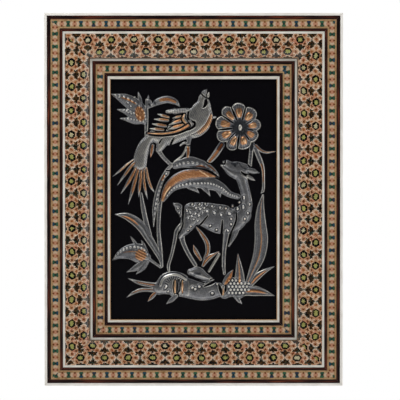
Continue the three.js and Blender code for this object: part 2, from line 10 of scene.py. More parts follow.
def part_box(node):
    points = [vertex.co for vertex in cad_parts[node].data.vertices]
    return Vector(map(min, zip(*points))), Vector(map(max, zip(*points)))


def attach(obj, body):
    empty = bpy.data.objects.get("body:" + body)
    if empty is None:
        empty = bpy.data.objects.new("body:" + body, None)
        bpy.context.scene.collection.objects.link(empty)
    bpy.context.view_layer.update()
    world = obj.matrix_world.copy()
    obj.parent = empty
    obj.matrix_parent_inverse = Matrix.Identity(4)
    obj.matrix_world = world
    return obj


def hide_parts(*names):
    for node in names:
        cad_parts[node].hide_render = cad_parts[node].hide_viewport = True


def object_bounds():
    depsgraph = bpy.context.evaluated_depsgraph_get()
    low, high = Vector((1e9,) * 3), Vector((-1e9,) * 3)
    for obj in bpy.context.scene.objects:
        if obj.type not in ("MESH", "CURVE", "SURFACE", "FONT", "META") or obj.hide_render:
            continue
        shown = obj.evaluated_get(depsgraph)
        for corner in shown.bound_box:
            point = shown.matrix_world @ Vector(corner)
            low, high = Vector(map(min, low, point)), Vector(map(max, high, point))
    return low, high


bl_info = {
    "name": "Engraved copper wall plaque",
    "version": (1, 0, 0),
    "blender": (4, 5, 0),
    "location": "View3D > Sidebar > Plaque",
    "description": "Models and finishes a tinned copper relief in a marquetry frame",
    "category": "Object",
}

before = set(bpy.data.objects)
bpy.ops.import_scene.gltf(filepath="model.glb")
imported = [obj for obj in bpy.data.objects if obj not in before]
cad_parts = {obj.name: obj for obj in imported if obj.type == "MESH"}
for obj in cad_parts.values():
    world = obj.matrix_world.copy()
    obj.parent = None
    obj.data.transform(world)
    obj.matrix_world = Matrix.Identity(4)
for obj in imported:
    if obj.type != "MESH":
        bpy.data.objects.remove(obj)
CAD_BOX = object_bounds()

MM = 0.001
SIDES = ("top", "left", "bottom", "right")
PLATE = "engraved_copper_plate"

# The frame as built, in mm
FRAME_LOW, FRAME_HIGH = (corner / MM for corner in CAD_BOX)
HALF_WIDTH = (FRAME_HIGH.x - FRAME_LOW.x) / 2
HALF_HEIGHT = (FRAME_HIGH.z - FRAME_LOW.z) / 2
MIDDLE_HEIGHT = (FRAME_HIGH.z + FRAME_LOW.z) / 2
PLATE_LOW, PLATE_HIGH = (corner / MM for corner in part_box(PLATE))
PLATE_BACK = PLATE_HIGH.y
PLATE_THICKNESS = 1.0
PLATE_FRONT = PLATE_BACK - PLATE_THICKNESS
LIP_LOW, LIP_HIGH = (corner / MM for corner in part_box("right_bone_lip"))
OPENING_HALF_WIDTH = LIP_LOW.x
OPENING_HALF_HEIGHT = OPENING_HALF_WIDTH + HALF_HEIGHT - HALF_WIDTH


def linear(code):
    """An sRGB hex value, such as 0x8C8C8A, as linear red, green and blue."""
    parts = [(code >> shift & 255) / 255 for shift in (16, 8, 0)]
    return tuple(c / 12.92 if c <= 0.04045 else ((c + 0.055) / 1.055) ** 2.4 for c in parts)


def colour(name, description, code):
    return bpy.props.FloatVectorProperty(
        name=name, description=description, subtype="COLOR", size=3, min=0, max=1, default=linear(code)
    )


class PlateSettings(bpy.types.PropertyGroup):
    cell: bpy.props.FloatProperty(
        name="Cell", description="Size of a cell of the sheet where nothing is raised",
        default=1.22 * MM, unit="LENGTH",
    )
    divisions: bpy.props.IntProperty(
        name="Divisions", description="Parts that a cell has each way where the metal is worked", default=3
    )
    paint: colour("Ground", "Satin black paint between the figures", 0x0A090D)
    tin: colour("Tin", "Tinned face of the metal where it is rubbed bright", 0xCFCCC3)
    tin_dull: colour("Dull tin", "Tinned face of the metal as it is for the most part", 0x85868A)
    tarnish: colour("Tarnish", "Tinned face of the metal in the hollows", 0x34363A)
    copper: colour("Copper", "Bare copper where the tin is rubbed through", 0xC08458)
    copper_bright: colour("Bright copper", "Bare copper where it is rubbed bright", 0xF6CFA4)
    copper_dark: colour("Dark copper", "Bare copper in the hollows", 0x6E4028)


class FrameSettings(bpy.types.PropertyGroup):
    wood: colour("Wood", "Dark stained hardwood of the rails", 0x2A1614)
    wood_dark: colour("Wood grain", "Pores and late wood of the rails", 0x0C0708)
    wood_red: colour("Worn wood", "Rails where the stain is worn thin", 0x6E3420)
    bone: colour("Bone", "Polished bone lines", 0xDCD8CE)
    bone_tan: colour("Raw edge", "Raw wood beside the lip", 0xB58E62)
    petal: colour("Petals", "Pale wood and bone of the marquetry flowers", 0xCBA584)
    petal_pink: colour("Pink petals", "Pinkish wood of the marquetry flowers", 0xC08468)
    dot: colour("Dots", "Brown rods in the petals", 0x512A10)
    dot_red: colour("Red dots", "Redder rods in the petals", 0x7C3A18)
    ebony: colour("Ebony", "Black rods round the hearts", 0x0A0806)
    olive: colour("Olive", "Olive brown rods between the flowers", 0x3C2A10)
    green: colour("Green", "Green dyed bone rods", 0x28463A)
    heart: colour("Hearts", "Yellow metal rods in the hearts", 0xA6A45E)
    tan: colour("Border ground", "Tan wood of the narrow marquetry", 0xA88660)


class StageSettings(bpy.types.PropertyGroup):
    distance: bpy.props.FloatProperty(
        name="Camera distance", description="From the camera to the face of the frame",
        default=3.0, unit="LENGTH",
    )
    elevation: bpy.props.FloatProperty(
        name="Camera elevation", description="Height of the camera above the frame's middle, as an angle",
        default=math.radians(2.0), unit="ROTATION",
    )
    floor: colour("Floor", "Pale floor", 0xF2F1EF)


def plate_settings():
    return bpy.context.scene.plaque_plate


def frame_settings():
    return bpy.context.scene.plaque_frame


def stage_settings():
    return bpy.context.scene.plaque_stage


# Relief

LEAST_HALF_WIDTH = 0.12
FULL_HEIGHT_FROM = 1.2
LEAST_RISE = 0.35
SPINE_STEPS = 48
SPRAY_ROOT = 0.85
SPRAY_TIP = 0.2
OUTSIDE = -9.0
REACH = 2.0
WALL_FROM, WALL_TO = -0.1, 0.5

# Heights across a form, from its spine to its edge: pairs of share of the half width and
# share of the height
PROFILES = {
    "dome": ((0, 1), (0.35, 0.96), (0.7, 0.8), (0.9, 0.62), (1, 0.5)),
    "leaf": ((0, 0.98), (0.12, 0.84), (0.45, 0.66), (0.75, 0.84), (1, 0.92)),
    "stem": ((0, 0.7), (0.35, 0.76), (0.7, 0.98), (1, 0.85)),
}


def smooth_curve(points, count):
    """Places along a smooth curve through the points."""
    keys = np.array(points, float)
    ends = np.vstack([2 * keys[0] - keys[1], keys, 2 * keys[-1] - keys[-2]])
    reach = np.linspace(0, len(keys) - 1, count)
    first = np.minimum(reach.astype(int), len(keys) - 2)
    f = (reach - first)[:, None]
    a, b, c, d = (ends[first + i] for i in range(4))
    return 0.5 * (2 * b + (c - a) * f + (2 * a - 5 * b + 4 * c - d) * f**2 + (3 * b - a - 3 * c + d) * f**3)


def along(keys, share):
    """The value at shares of the way along evenly spaced keys."""
    curve = smooth_curve([[value, 0] for value in keys], SPINE_STEPS * 2)[:, 0]
    value = np.interp(share, np.linspace(0, 1, len(curve)), curve)
    return np.maximum(value, LEAST_HALF_WIDTH)


def ease(value, low, high):
    t = np.clip((value - low) / (high - low), 0, 1)
    return t * t * (3 - 2 * t)


def bell(value, centre, spread):
    """1 at the centre, falling smoothly to 0 at the spread."""
    return 1 - ease(np.abs(value - centre), 0, spread)


def polar(centre, radius, degrees):
    turn = math.radians(degrees)
    return [centre[0] + radius * math.cos(turn), centre[1] + radius * math.sin(turn)]


def between(a, b, share):
    return [a[0] + (b[0] - a[0]) * share, a[1] + (b[1] - a[1]) * share]


class Form:
    """The points that one form covers: where each lies along it, across it and in from its edge."""

    def __init__(self, at, share, across, edge, length=0.0):
        self.at = at
        self.share = share
        self.across = across
        self.edge = edge
        self.length = length


class Relief:
    """The worked metal at points of the plate, in mm from the middle of the opening. edge is
    the distance in from the outline of the metal, less than 0 on the painted ground."""

    def __init__(self, x, z):
        self.x = x
        self.z = z
        self.height = np.zeros(len(x))
        self.edge = np.full(len(x), OUTSIDE)
        # rim: strength of the painted highlight along a form's edge and the painted shade just inside it. tone: a
        # form's own brightness, with its engraved lines and the painted shade and highlight strokes
        self.rim = np.zeros(len(x))
        self.tone = np.zeros(len(x))
        self.copper = np.zeros(len(x))
        self.phase = np.zeros(len(x))
        self.lines = np.zeros(len(x))

    def locate(self, points, reach):
        """Points near a spine, their share of the way along it and their distance to its left."""
        spine = smooth_curve(points, SPINE_STEPS)
        low, high = spine.min(0) - reach, spine.max(0) + reach
        near = (self.x > low[0]) & (self.x < high[0]) & (self.z > low[1]) & (self.z < high[1])
        at = np.nonzero(near)[0]
        x, z = self.x[at], self.z[at]
        best = np.full(len(at), 1e9)
        share = np.zeros(len(at))
        off = np.zeros(len(at))
        for i, (a, b) in enumerate(zip(spine[:-1], spine[1:])):
            run = b - a
            f = np.clip(((x - a[0]) * run[0] + (z - a[1]) * run[1]) / (run @ run), 0, 1)
            dx, dz = x - a[0] - f * run[0], z - a[1] - f * run[1]
            square = dx * dx + dz * dz
            closer = square < best
            best[closer] = square[closer]
            share[closer] = (i + f[closer]) / (SPINE_STEPS - 1)
            left = run[0] * dz - run[1] * dx
            off[closer] = np.copysign(np.sqrt(square), left)[closer]
        length = np.linalg.norm(np.diff(spine, axis=0), axis=1).sum()
        return at, share, off, length

    def outline(self, points, half_widths, reach):
        at, share, off, length = self.locate(points, max(half_widths) + reach)
        return at, share, off, along(half_widths, share), length

    def surround(self, at, inwards, moat):
        """Keeps the distance to a form beside it, and cuts a moat of ground round it if asked."""
        beside = inwards <= 0
        at, away = at[beside], -inwards[beside]
        if moat:
            gap = np.where(away < moat, -np.minimum(away, moat - away), away - moat)
            self.edge[at] = np.minimum(self.edge[at], gap)
        self.edge[at] = np.maximum(self.edge[at], -away)

    def lay(self, form, rise, over, tone, rim, copper):
        """Puts a form on the plate: over what is there, or joined to it where it stands higher."""
        won = np.full(len(form.at), True) if over else rise > self.height[form.at]
        if not over:
            form.edge = np.maximum(form.edge, self.edge[form.at])
            self.edge[form.at] = form.edge
        form = Form(form.at[won], form.share[won], form.across[won], form.edge[won], form.length)
        self.height[form.at] = rise[won]
        self.edge[form.at] = form.edge
        self.tone[form.at] = tone
        self.rim[form.at] = rim
        self.lines[form.at] = 0
        self.copper[form.at] = 0
        if copper:
            self.copper[form.at] = np.clip(1.6 * (1 - np.abs(form.across - copper[0]) / copper[1]), 0, 1)
        return form

    def ridge(self, points, half_widths, high, kind="leaf", copper=None, moat=0.0, over=False, tone=0.0, rim=1.0):
        """Raises a form along a smooth spine. copper is where it shows, as a share across and
        a spread. A moat stands it clear of what lies under it."""
        at, share, off, half, length = self.outline(points, half_widths, moat + REACH)
        inwards = half - np.abs(off)
        self.surround(at, inwards, moat)
        inside = inwards > 0
        half = half[inside]
        form = Form(at[inside], share[inside], off[inside] / half, inwards[inside], length)
        knots, heights = zip(*PROFILES[kind])
        rise = np.interp(np.abs(form.across), knots, heights) * high
        rise *= np.clip(half / FULL_HEIGHT_FROM, LEAST_RISE, 1)
        return self.lay(form, rise, moat > 0 or over, tone, rim, copper)

    def spray(self, root, tip, half, high, kind="leaf", bow=0.0, **finish):
        """A pointed spray from a root to a tip, widest part way along."""
        mx, mz = between(root, tip, 0.5)
        length = math.dist(root, tip)
        middle = [mx - bow * (tip[1] - root[1]) / length, mz + bow * (tip[0] - root[0]) / length]
        return self.ridge([root, middle, tip], [half * SPRAY_ROOT, half, SPRAY_TIP], high, kind, **finish)

    def body(self, limbs, high, tone=0.0, rim=1.0):
        """One rounded mass from several overlapping limbs, each its spine and half widths."""
        edge = np.full(len(self.x), OUTSIDE)
        crown = np.zeros(len(self.x))
        knots, heights = zip(*PROFILES["dome"])
        for points, half_widths in limbs:
            at, share, off, half, length = self.outline(points, half_widths, REACH)
            edge[at] = np.maximum(edge[at], half - np.abs(off))
            crown[at] = np.maximum(crown[at], np.interp(np.abs(off) / half, knots, heights))
        near = np.nonzero(edge > -REACH)[0]
        self.surround(near, edge[near], 0)
        at = np.nonzero(edge > 0)[0]
        form = Form(at, np.zeros(len(at)), np.zeros(len(at)), edge[at])
        rise = high * crown[at] * (0.72 + 0.28 * ease(edge[at], 0, 3))
        return self.lay(form, rise, False, tone, rim, None)

    def bead(self, centre, half_width, half_height, high, turn=0.0, copper=0.0, dent=0.0):
        """A raised spot, on the ground or on what it stands over, with a dent round it."""
        c, s = math.cos(math.radians(turn)), math.sin(math.radians(turn))
        dx, dz = self.x - centre[0], self.z - centre[1]
        q = np.hypot((dx * c + dz * s) / half_width, (dz * c - dx * s) / half_height)
        least = min(half_width, half_height)
        at = np.nonzero(q < 1 + REACH / least)[0]
        q = q[at]
        self.edge[at] = np.maximum(self.edge[at], (1 - q) * least)
        self.height[at] -= dent * bell(q, 1.25, 0.6)
        rise = high * np.sqrt(np.clip(1 - q * q, 0, 1))
        self.lines[at] *= ease(q, 0.9, 1.5)
        self.height[at] = np.maximum(self.height[at], rise)
        self.copper[at] = np.maximum(self.copper[at], copper * np.clip(1 - q, 0, 1))

    def groove(self, points, half_widths):
        """A gap cut down to the ground, left black."""
        at, share, off, half, length = self.outline(points, half_widths, REACH)
        self.edge[at] = np.minimum(self.edge[at], np.abs(off) - half)

    def line(self, points, half_width, deep, dark=0.3):
        """A fine engraved line that keeps the metal."""
        at, share, off, half, length = self.outline(points, [half_width] * 2, 1)
        cut = bell(off, 0, half_width)
        self.height[at] -= deep * cut
        self.tone[at] -= dark * cut

    def crest(self, points, half_width, high, light=0.3):
        """A fine raised line on the metal, drawn brighter along it as a painted highlight."""
        self.line(points, half_width, -high, -light)

    def tint(self, points, half_widths, strength=1.0):
        """Bare copper along a stroke, where there is metal."""
        at, share, off, half, length = self.outline(points, half_widths, 1)
        worn = strength * (1 - ease(np.abs(off) / half, 0.55, 1.05))
        self.copper[at] = np.maximum(self.copper[at], worn)

    def shade(self, points, half_widths, tone):
        """Painted shade along a stroke, or a painted highlight where tone is above 0: the metal drawn darker or
        brighter.
        """
        at, share, off, half, length = self.outline(points, half_widths, 1)
        self.tone[at] += tone * (1 - ease(np.abs(off) / half, 0.4, 1.05))

    def fade(self, form, start, end):
        """Keeps the copper of a form between two shares of its length."""
        run = (end - start) * 0.3
        kept = ease(form.share, start, start + run) * (1 - ease(form.share, end - run, end))
        self.copper[form.at] *= kept

    def rule(self, at, phase, strength):
        self.phase[at] = phase
        self.lines[at] = strength

    def hatch(self, form, degrees, pitch, strength=1.0, rows=0.0):
        """Parallel engraved lines over a form, at a turn from level."""
        turn = math.radians(degrees)
        x, z = self.x[form.at], self.z[form.at]
        phase = (z * math.cos(turn) - x * math.sin(turn)) / pitch
        if rows:
            phase = phase + 0.13 * np.sin((x * math.cos(turn) + z * math.sin(turn)) * math.tau / rows)
        self.rule(form.at, phase, strength)

    def veins(self, form, count, strength=1.0, reach=1.0):
        """Engraved lines that run along a form, so many on each side of its middle."""
        across = np.abs(form.across)
        self.rule(form.at, across * count, strength * (across < reach))

    def ticks(self, form, pitch, strength=1.0, low=-1.0, high=1.0):
        """Short engraved lines across a form."""
        inside = (form.across > low) & (form.across < high)
        self.rule(form.at, form.share * form.length / pitch, strength * inside)

    def pearls(self, form, at_share, pitch, radius, high):
        """A row of small raised beads along a form, part way across it."""
        half = form.edge / np.maximum(1 - np.abs(form.across), 1e-3)
        off = (form.across - at_share) * half
        run = form.share * form.length
        step = (run / pitch - np.floor(run / pitch) - 0.5) * pitch
        q = np.hypot(off, step) / radius
        self.height[form.at] += high * np.sqrt(np.clip(1 - q * q, 0, 1))

    def stipple(self, form, pitch, deep):
        """A close pattern of small punched bumps."""
        x, z = self.x[form.at], self.z[form.at]
        turn = math.tau / pitch
        wave = np.cos(turn * x) * np.cos(turn * (0.5 * x + 0.87 * z)) * np.cos(turn * (0.5 * x - 0.87 * z))
        self.height[form.at] += deep * wave * ease(form.edge, 0, 1)


def left_plant(r):
    r.ridge([[-42.3, 4.5], [-40.8, -6], [-38.6, -17], [-35.5, -28]], [1.1, 1.8, 2, 1.8], 1.1, "stem")
    r.ridge(
        [[-63.4, -12], [-53, -14], [-43, -21], [-36, -31.5], [-27.5, -46], [-25.5, -53.5]],
        [0.2, 3, 3.9, 3.3, 2.2, 1], 1.2,
    )
    r.tint([[-58, -13.6], [-51, -15.6], [-45, -20.4]], [0.5, 1.2, 0.5])
    stem = r.ridge(
        [[-26.8, -1], [-28, -12], [-28.3, -25], [-27, -40], [-25.6, -54]],
        [1.8, 1.7, 1.6, 1.8, 1.2], 1.2, "stem",
    )
    r.ticks(stem, 2.3, 0.5, -0.6, 0.6)
    blade = r.ridge(
        [[-32.3, -22], [-31.4, -8], [-29, 4], [-25.6, 14], [-21.6, 22], [-19.4, 26.3]],
        [0.3, 1.9, 2.4, 2.6, 2.2, 1.3], 1.1, rim=1.2,
    )
    r.pearls(blade, -0.2, 3.1, 0.95, 0.5)
    r.tint([[-25.4, 16], [-23.8, 19.2]], [1.1, 0.9])
    r.groove([[-22, 23.2], [-18.4, 23]], [0.5, 0.6])
    r.groove([[-28.2, -3], [-26, 6.5], [-22.8, 15], [-19.6, 19.6]], [0.3, 0.5, 0.9, 0.4])


def arching_leaf(r):
    upper = r.ridge(
        [[-14.6, 27.4], [-10, 29], [-3, 30], [4, 29], [11, 26], [17.5, 21], [20.4, 17.6]],
        [3, 3.6, 4.6, 3.7, 3.3, 2.2, 0.6], 1.3, "dome", rim=1.1, tone=-0.02,
    )
    r.pearls(upper, -0.05, 3.4, 1.15, 0.45)
    r.tint([[11.4, 27.6], [14.4, 25.6], [17.6, 22.6]], [0.5, 0.8, 0.4])
    r.tint([[2, 26.6], [6.5, 27], [10, 25.6]], [0.5, 0.9, 0.4], 0.7)
    r.shade([[-3, 26.2], [6, 26.4], [12, 24.4], [18, 20]], [0.5, 1.1, 1.1, 0.6], -0.5)
    lower = r.ridge(
        [[-24, -0.6], [-17, 8.2], [-8, 11.8], [4, 13], [14, 12.6], [22, 9.4], [29, 4.2], [35.8, 2.1]],
        [1.2, 2.2, 2.8, 4, 5, 4, 2.7, 2.2], 1.3, "dome", rim=0.9,
    )
    r.pearls(lower, 0, 2.5, 0.8, 0.5)
    barbs = [[[-4, 10], [4.5, 5.1]], [[6, 11], [13.3, 2.6]], [[17.6, 9.6], [21.6, 1.8]]]
    for root, tip in barbs:
        r.spray(root, tip, 1.9, 1, "dome", 1)
    blade = r.ridge(
        [[-25, -0.6], [-22.6, 6.6], [-17, 13.8], [-8, 18.8], [4, 20.4], [12, 19.6], [17.6, 18.2]],
        [1.6, 2.6, 3.9, 4.6, 4.3, 2.6, 0.7], 1.6, "dome", copper=(0.05, 1), over=True, rim=0.5,
    )
    r.veins(blade, 4, 1.2)
    r.groove([[-16.6, 22.6], [-10, 24.3], [-1.4, 24.9], [4.9, 24.7], [12, 22.8], [20.8, 17.6]], [0.4, 0.5, 0.5, 0.4, 0.9, 0.4])
    r.crest([[4.9, 23.1], [8.4, 21], [12, 18.5]], 0.8, 0.4, 0.6)
    r.crest([[-23.6, 3], [-21.6, 6.6], [-19, 10]], 0.9, 0.4, 0.5)


def flower_stems(r):
    left = r.ridge([[22.6, 44], [17.8, 36.6], [12.6, 30.4]], [2.6, 2.6, 2], 1.2, "stem", copper=(0, 0.5))
    r.veins(left, 3, 0.9)
    # Painted shadow on the stem under the flower
    r.shade([[23.2, 45.4], [20.4, 41]], [3.4, 2.4], -0.7)
    r.groove([[10, 30.4], [12.4, 29.2], [15, 29.2]], [0.3, 0.5, 0.3])
    middle = r.ridge([[46.9, 45], [46.3, 38], [45.2, 27]], [2.2, 1.7, 1.7], 1.2, "stem")
    r.ticks(middle, 2.1, 0.7)
    right = r.ridge(
        [[49.6, 41], [53.4, 32], [55.8, 25], [56.3, 16], [56.2, 9], [55.2, 4.6]],
        [1.8, 1.9, 1.4, 1.15, 1.2, 1.2], 1.1, "stem", copper=(-0.2, 0.7),
    )
    r.veins(right, 2, 0.6)
    r.fade(right, 0.2, 0.75)
    r.ridge([[50, 43], [54.2, 39.4], [59, 37.8], [66.2, 38.7]], [1.5, 1.3, 0.9, 0.2], 1, "dome", copper=(0.2, 0.6))
    # Painted shadow on the stem under the flower
    r.shade([[46.6, 45], [46.8, 41]], [3.4, 2], -0.8)


def tall_leaf(r):
    leaf = r.ridge(
        [[55.9, 3.6], [54, -7], [53.8, -20], [54.6, -33], [52.6, -46], [47.6, -58], [43.8, -66.5]],
        [0.7, 3, 4.7, 5.4, 5, 3.4, 2], 1.5, copper=(0.0, 0.16), rim=1.15,
    )
    r.veins(leaf, 5, 0.45)
    r.groove([[53.8, 3.8], [57, 5.2]], [0.5, 0.6])


def upper_bud(r):
    stem = r.ridge([[-37.8, 80], [-37.8, 66], [-38.2, 56], [-38.4, 51.5]], [1.1, 1.4, 1.4, 1.1], 1.1, "stem")
    r.ticks(stem, 5.6, 0.7)
    inner = r.ridge([[-39.3, 62], [-46, 63], [-52, 64.2], [-59.3, 65.2]], [0.8, 2.6, 2.1, 0.2], 1.4, "dome")
    middle = r.ridge([[-39.5, 62], [-47, 67], [-54, 70.6], [-61.6, 72.4]], [2, 4.4, 2.5, 0.2], 1.4, "dome")
    outer = r.ridge(
        [[-38.8, 63], [-43.5, 72], [-54, 79.9], [-66.5, 84.9]], [1.5, 5.6, 4.9, 0.3], 1.4, "dome", rim=0.9
    )
    for petal, pitch in ((outer, 3.2), (middle, 3.0), (inner, 2.6)):
        r.pearls(petal, -0.35, pitch, 0.9, 0.4)
    r.spray([-42.2, 76], [-44.6, 86.6], 1.6, 1.3, "dome")
    r.shade([[-43, 81], [-40.6, 78], [-41, 74]], [1.2, 1.6, 1], -0.35)
    r.tint([[-58, 82], [-52, 80], [-46.5, 77]], [0.5, 0.9, 0.6])
    worn = oval(r, [-43.2, 69], 4.6, 7.4, 14)
    r.copper[worn.at] = np.maximum(r.copper[worn.at], worn.share)
    fan = np.arctan2(r.z[worn.at] - 56, r.x[worn.at] + 39)
    r.rule(worn.at, fan * 11, 1.2)
    for centre in ([-59.8, 82.6], [-52.6, 77.8], [-50.6, 75], [-52.6, 70.1], [-50.1, 69.1], [-55.7, 72.1], [-47.5, 82.2]):
        r.bead(centre, 1, 0.8, 1.75, copper=0.3, dent=0.3)
    knob = r.ridge([[-36.6, 75.4], [-36.2, 78]], [2.4, 2.6], 1.2, "dome")
    r.shade([[-36, 76.6], [-34.6, 75.2]], [1.1, 0.8], -0.7)
    r.veins(knob, 2, 0.6)
    r.spray([-37, 79], [-36.3, 84], 0.8, 0.8, "dome", tone=-0.15)
    right = r.ridge(
        [[-34.4, 74.6], [-29, 78.4], [-21.5, 80.4], [-15, 78.6], [-11.2, 74.8]],
        [0.8, 2.6, 2.9, 2.3, 0.3], 1.2, "dome",
    )
    r.veins(right, 3, 0.5)
    r.tint([[-26.4, 80], [-20.5, 80.6], [-14.8, 78.4]], [1.5, 1.5, 1.2])
    r.shade([[-32.6, 80], [-31, 77]], [1.4, 1], -0.5)


def oval(r, centre, half_width, half_height, turn):
    """The worked metal in an oval: share is 1 in its middle and 0 at its rim."""
    c, s = math.cos(math.radians(turn)), math.sin(math.radians(turn))
    dx, dz = r.x - centre[0], r.z - centre[1]
    q = np.hypot((dx * c + dz * s) / half_width, (dz * c - dx * s) / half_height)
    at = np.nonzero((q < 1) & (r.edge > 0))[0]
    return Form(at, 1 - ease(q[at], 0.65, 1), q[at], (1 - q[at]) * half_width)


def lower_bud(r):
    r.ridge([[-26.6, -54.6], [-31, -51.6], [-36.5, -47.6]], [1.2, 1.1, 1.5], 1.1, "dome")
    r.spray([-38, -49.4], [-53.9, -58.7], 2.7, 1.2, "dome", 0.8)
    r.spray([-37.4, -49.6], [-46.3, -60.3], 2.3, 1.2, "dome", 0.6)
    head = r.ridge(
        [[-37.6, -46.6], [-43, -43.8], [-51, -42.4], [-59, -44.6], [-65.6, -49]],
        [3.2, 7.6, 6.3, 3.6, 0.2], 1.6, "dome", rim=0.8,
    )
    r.pearls(head, -0.6, 2.3, 0.95, 0.5)
    r.shade([[-60, -45], [-52, -46.4], [-47, -47]], [0.6, 1.6, 1.4], -0.2)
    worn = oval(r, [-42.6, -44.8], 5.4, 5.6, 0)
    r.copper[worn.at] = np.maximum(r.copper[worn.at], worn.share)
    r.hatch(worn, -28, 2.1, 1.6)
    r.tint([[-46, -42.2], [-52, -42], [-57, -43]], [0.8, 0.9, 0.4], 0.6)
    r.spray([-45.4, -37.6], [-50.9, -29.8], 1.2, 0.9, "dome")
    r.spray([-38.8, -39.4], [-42.2, -32.8], 1.2, 0.9, "dome")


def bird_tail(r):
    """The separate tail feathers, then the limb that they hang from."""
    feathers = [
        ([[-47, 33], [-53.5, 28.2], [-58.7, 23.6], [-65, 18.6]], [0.5, 0.8, 1, 0.2]),
        ([[-46.8, 30.5], [-50.6, 26.5], [-55, 20.4], [-61.4, 11.4]], [1, 1.3, 1.2, 0.2]),
        ([[-46, 26], [-49.5, 19.5], [-53.4, 12.6], [-58.6, 4.6]], [1.2, 1.4, 1.3, 0.2]),
        ([[-44.6, 25], [-47, 16], [-49.4, 7], [-52.6, -3.8]], [1.1, 1.5, 1.4, 0.2]),
        ([[-42.4, 25], [-43, 16], [-43.8, 8], [-44.1, 1.8]], [1.1, 1.4, 1.2, 0.2]),
        ([[-40.2, 25], [-40, 15], [-39, 8], [-37.1, 0.2]], [1, 1.2, 1.1, 0.2]),
        ([[-38.2, 25], [-36.8, 17], [-34.3, 9.8], [-31.6, 5.8]], [1, 1.2, 1.1, 0.3]),
    ]
    for points, half_widths in feathers:
        feather = r.ridge(points, half_widths, 1.3, "dome", copper=(0.25, 0.9), rim=1.1, moat=0.3)
        r.fade(feather, -0.2, 0.9)
        r.hatch(feather, 62, 1.9, 0.7)
    return [[-34.5, 50], [-39.5, 43], [-42.4, 35], [-43.2, 27.5]], [3.8, 4.9, 5.3, 5.2]


def bird_legs(r):
    left = r.ridge([[-28.6, 40], [-25, 34.6], [-21, 30.4], [-18.4, 28]], [1.9, 1.6, 1.5, 1.4], 1.2, "dome", tone=0.1)
    r.hatch(left, 40, 2.2, 0.6)
    r.ridge([[-17.6, 28.4], [-18.6, 26.6], [-20.6, 24.8]], [1.2, 1.5, 0.9], 1.3, "dome", tone=0.2)
    r.ridge([[-3.6, 50], [-4.1, 46], [-4.4, 43]], [2.2, 1.7, 1.6], 1.3, "dome")
    r.ridge([[-4.6, 42.2], [-4.5, 38], [-4.9, 34]], [1.7, 1.6, 1.1], 1.3, "dome", copper=(0.1, 0.8))
    r.ridge([[-5.8, 42.4], [-7.2, 38.6], [-10, 34.4], [-15.4, 30.4]], [0.8, 0.9, 0.9, 0.7], 1.5, "dome", tone=0.35)
    r.ridge([[-5.6, 45.4], [-8, 45.3], [-10.8, 43.4]], [1.1, 0.9, 0.6], 1.1, "dome")
    r.groove([[-6.2, 42.9], [-2.6, 43.4]], [0.35, 0.35])


def bird_body(r):
    trunk = r.body(
        [
            bird_tail(r),
            ([[-33, 51], [-22, 50], [-10, 57], [0, 62], [6, 67.5]], [4.4, 6.6, 9.6, 12.2, 9.3]),
            ([[-21.4, 70.6], [-15, 70.8], [-6, 69]], [1.2, 2.2, 4.6]),
            ([[4, 62], [6, 70], [7.6, 77], [7.4, 81.4]], [9.6, 8.8, 6, 3.4]),
            ([[-25, 47.6], [-26, 44.5], [-27.6, 39.4]], [5, 4.4, 2]),
        ],
        1.6, tone=0.2, rim=0.3,
    )
    r.hatch(trunk, -60, 1.5, 0.9, rows=4.2)
    small = r.spray([-33, 43.4], [-34.6, 34], 1.6, 1, "dome", copper=(0, 0.7), moat=0.6)
    r.veins(small, 2, 0.6)
    r.groove([[-27.6, 45.4], [-26.6, 47], [-25.2, 48.9]], [0.6, 0.5, 0.3])
    r.groove([[-18.4, 44.4], [-17.2, 47], [-15.6, 49.8]], [0.8, 0.7, 0.3])
    r.groove([[-11, 45.8], [-7.6, 46.9], [-5.4, 46.9]], [0.5, 0.5, 0.3])
    breast = r.ridge(
        [[-2, 52], [4, 53.6], [10, 58.6], [13.4, 65], [13.8, 69.6]], [0.4, 1.7, 1.9, 1.7, 0.4],
        1.15, "dome", copper=(0, 1.3), over=True, tone=0.15, rim=0.3,
    )
    r.hatch(breast, -60, 1.5, 1.6)
    r.fade(breast, 0.1, 1.1)
    r.spray([7, 83.6], [10.6, 88.6], 2, 1.4, "dome", tone=0.05)
    r.spray([11.2, 81.8], [12.4, 86.4], 1.1, 1.4, "dome", moat=0.45, tone=0.3)
    r.groove([[5.4, 86], [8.3, 82.9], [12.4, 81.2]], [0.35, 0.5, 0.4])
    r.groove([[7.4, 73.8], [8.8, 75.2], [9.8, 77.6], [10, 79.8]], [0.3, 1, 1.6, 1.1])
    r.ridge([[15, 65.4], [17.6, 66.2]], [0.7, 0.8], 0.9, "dome")


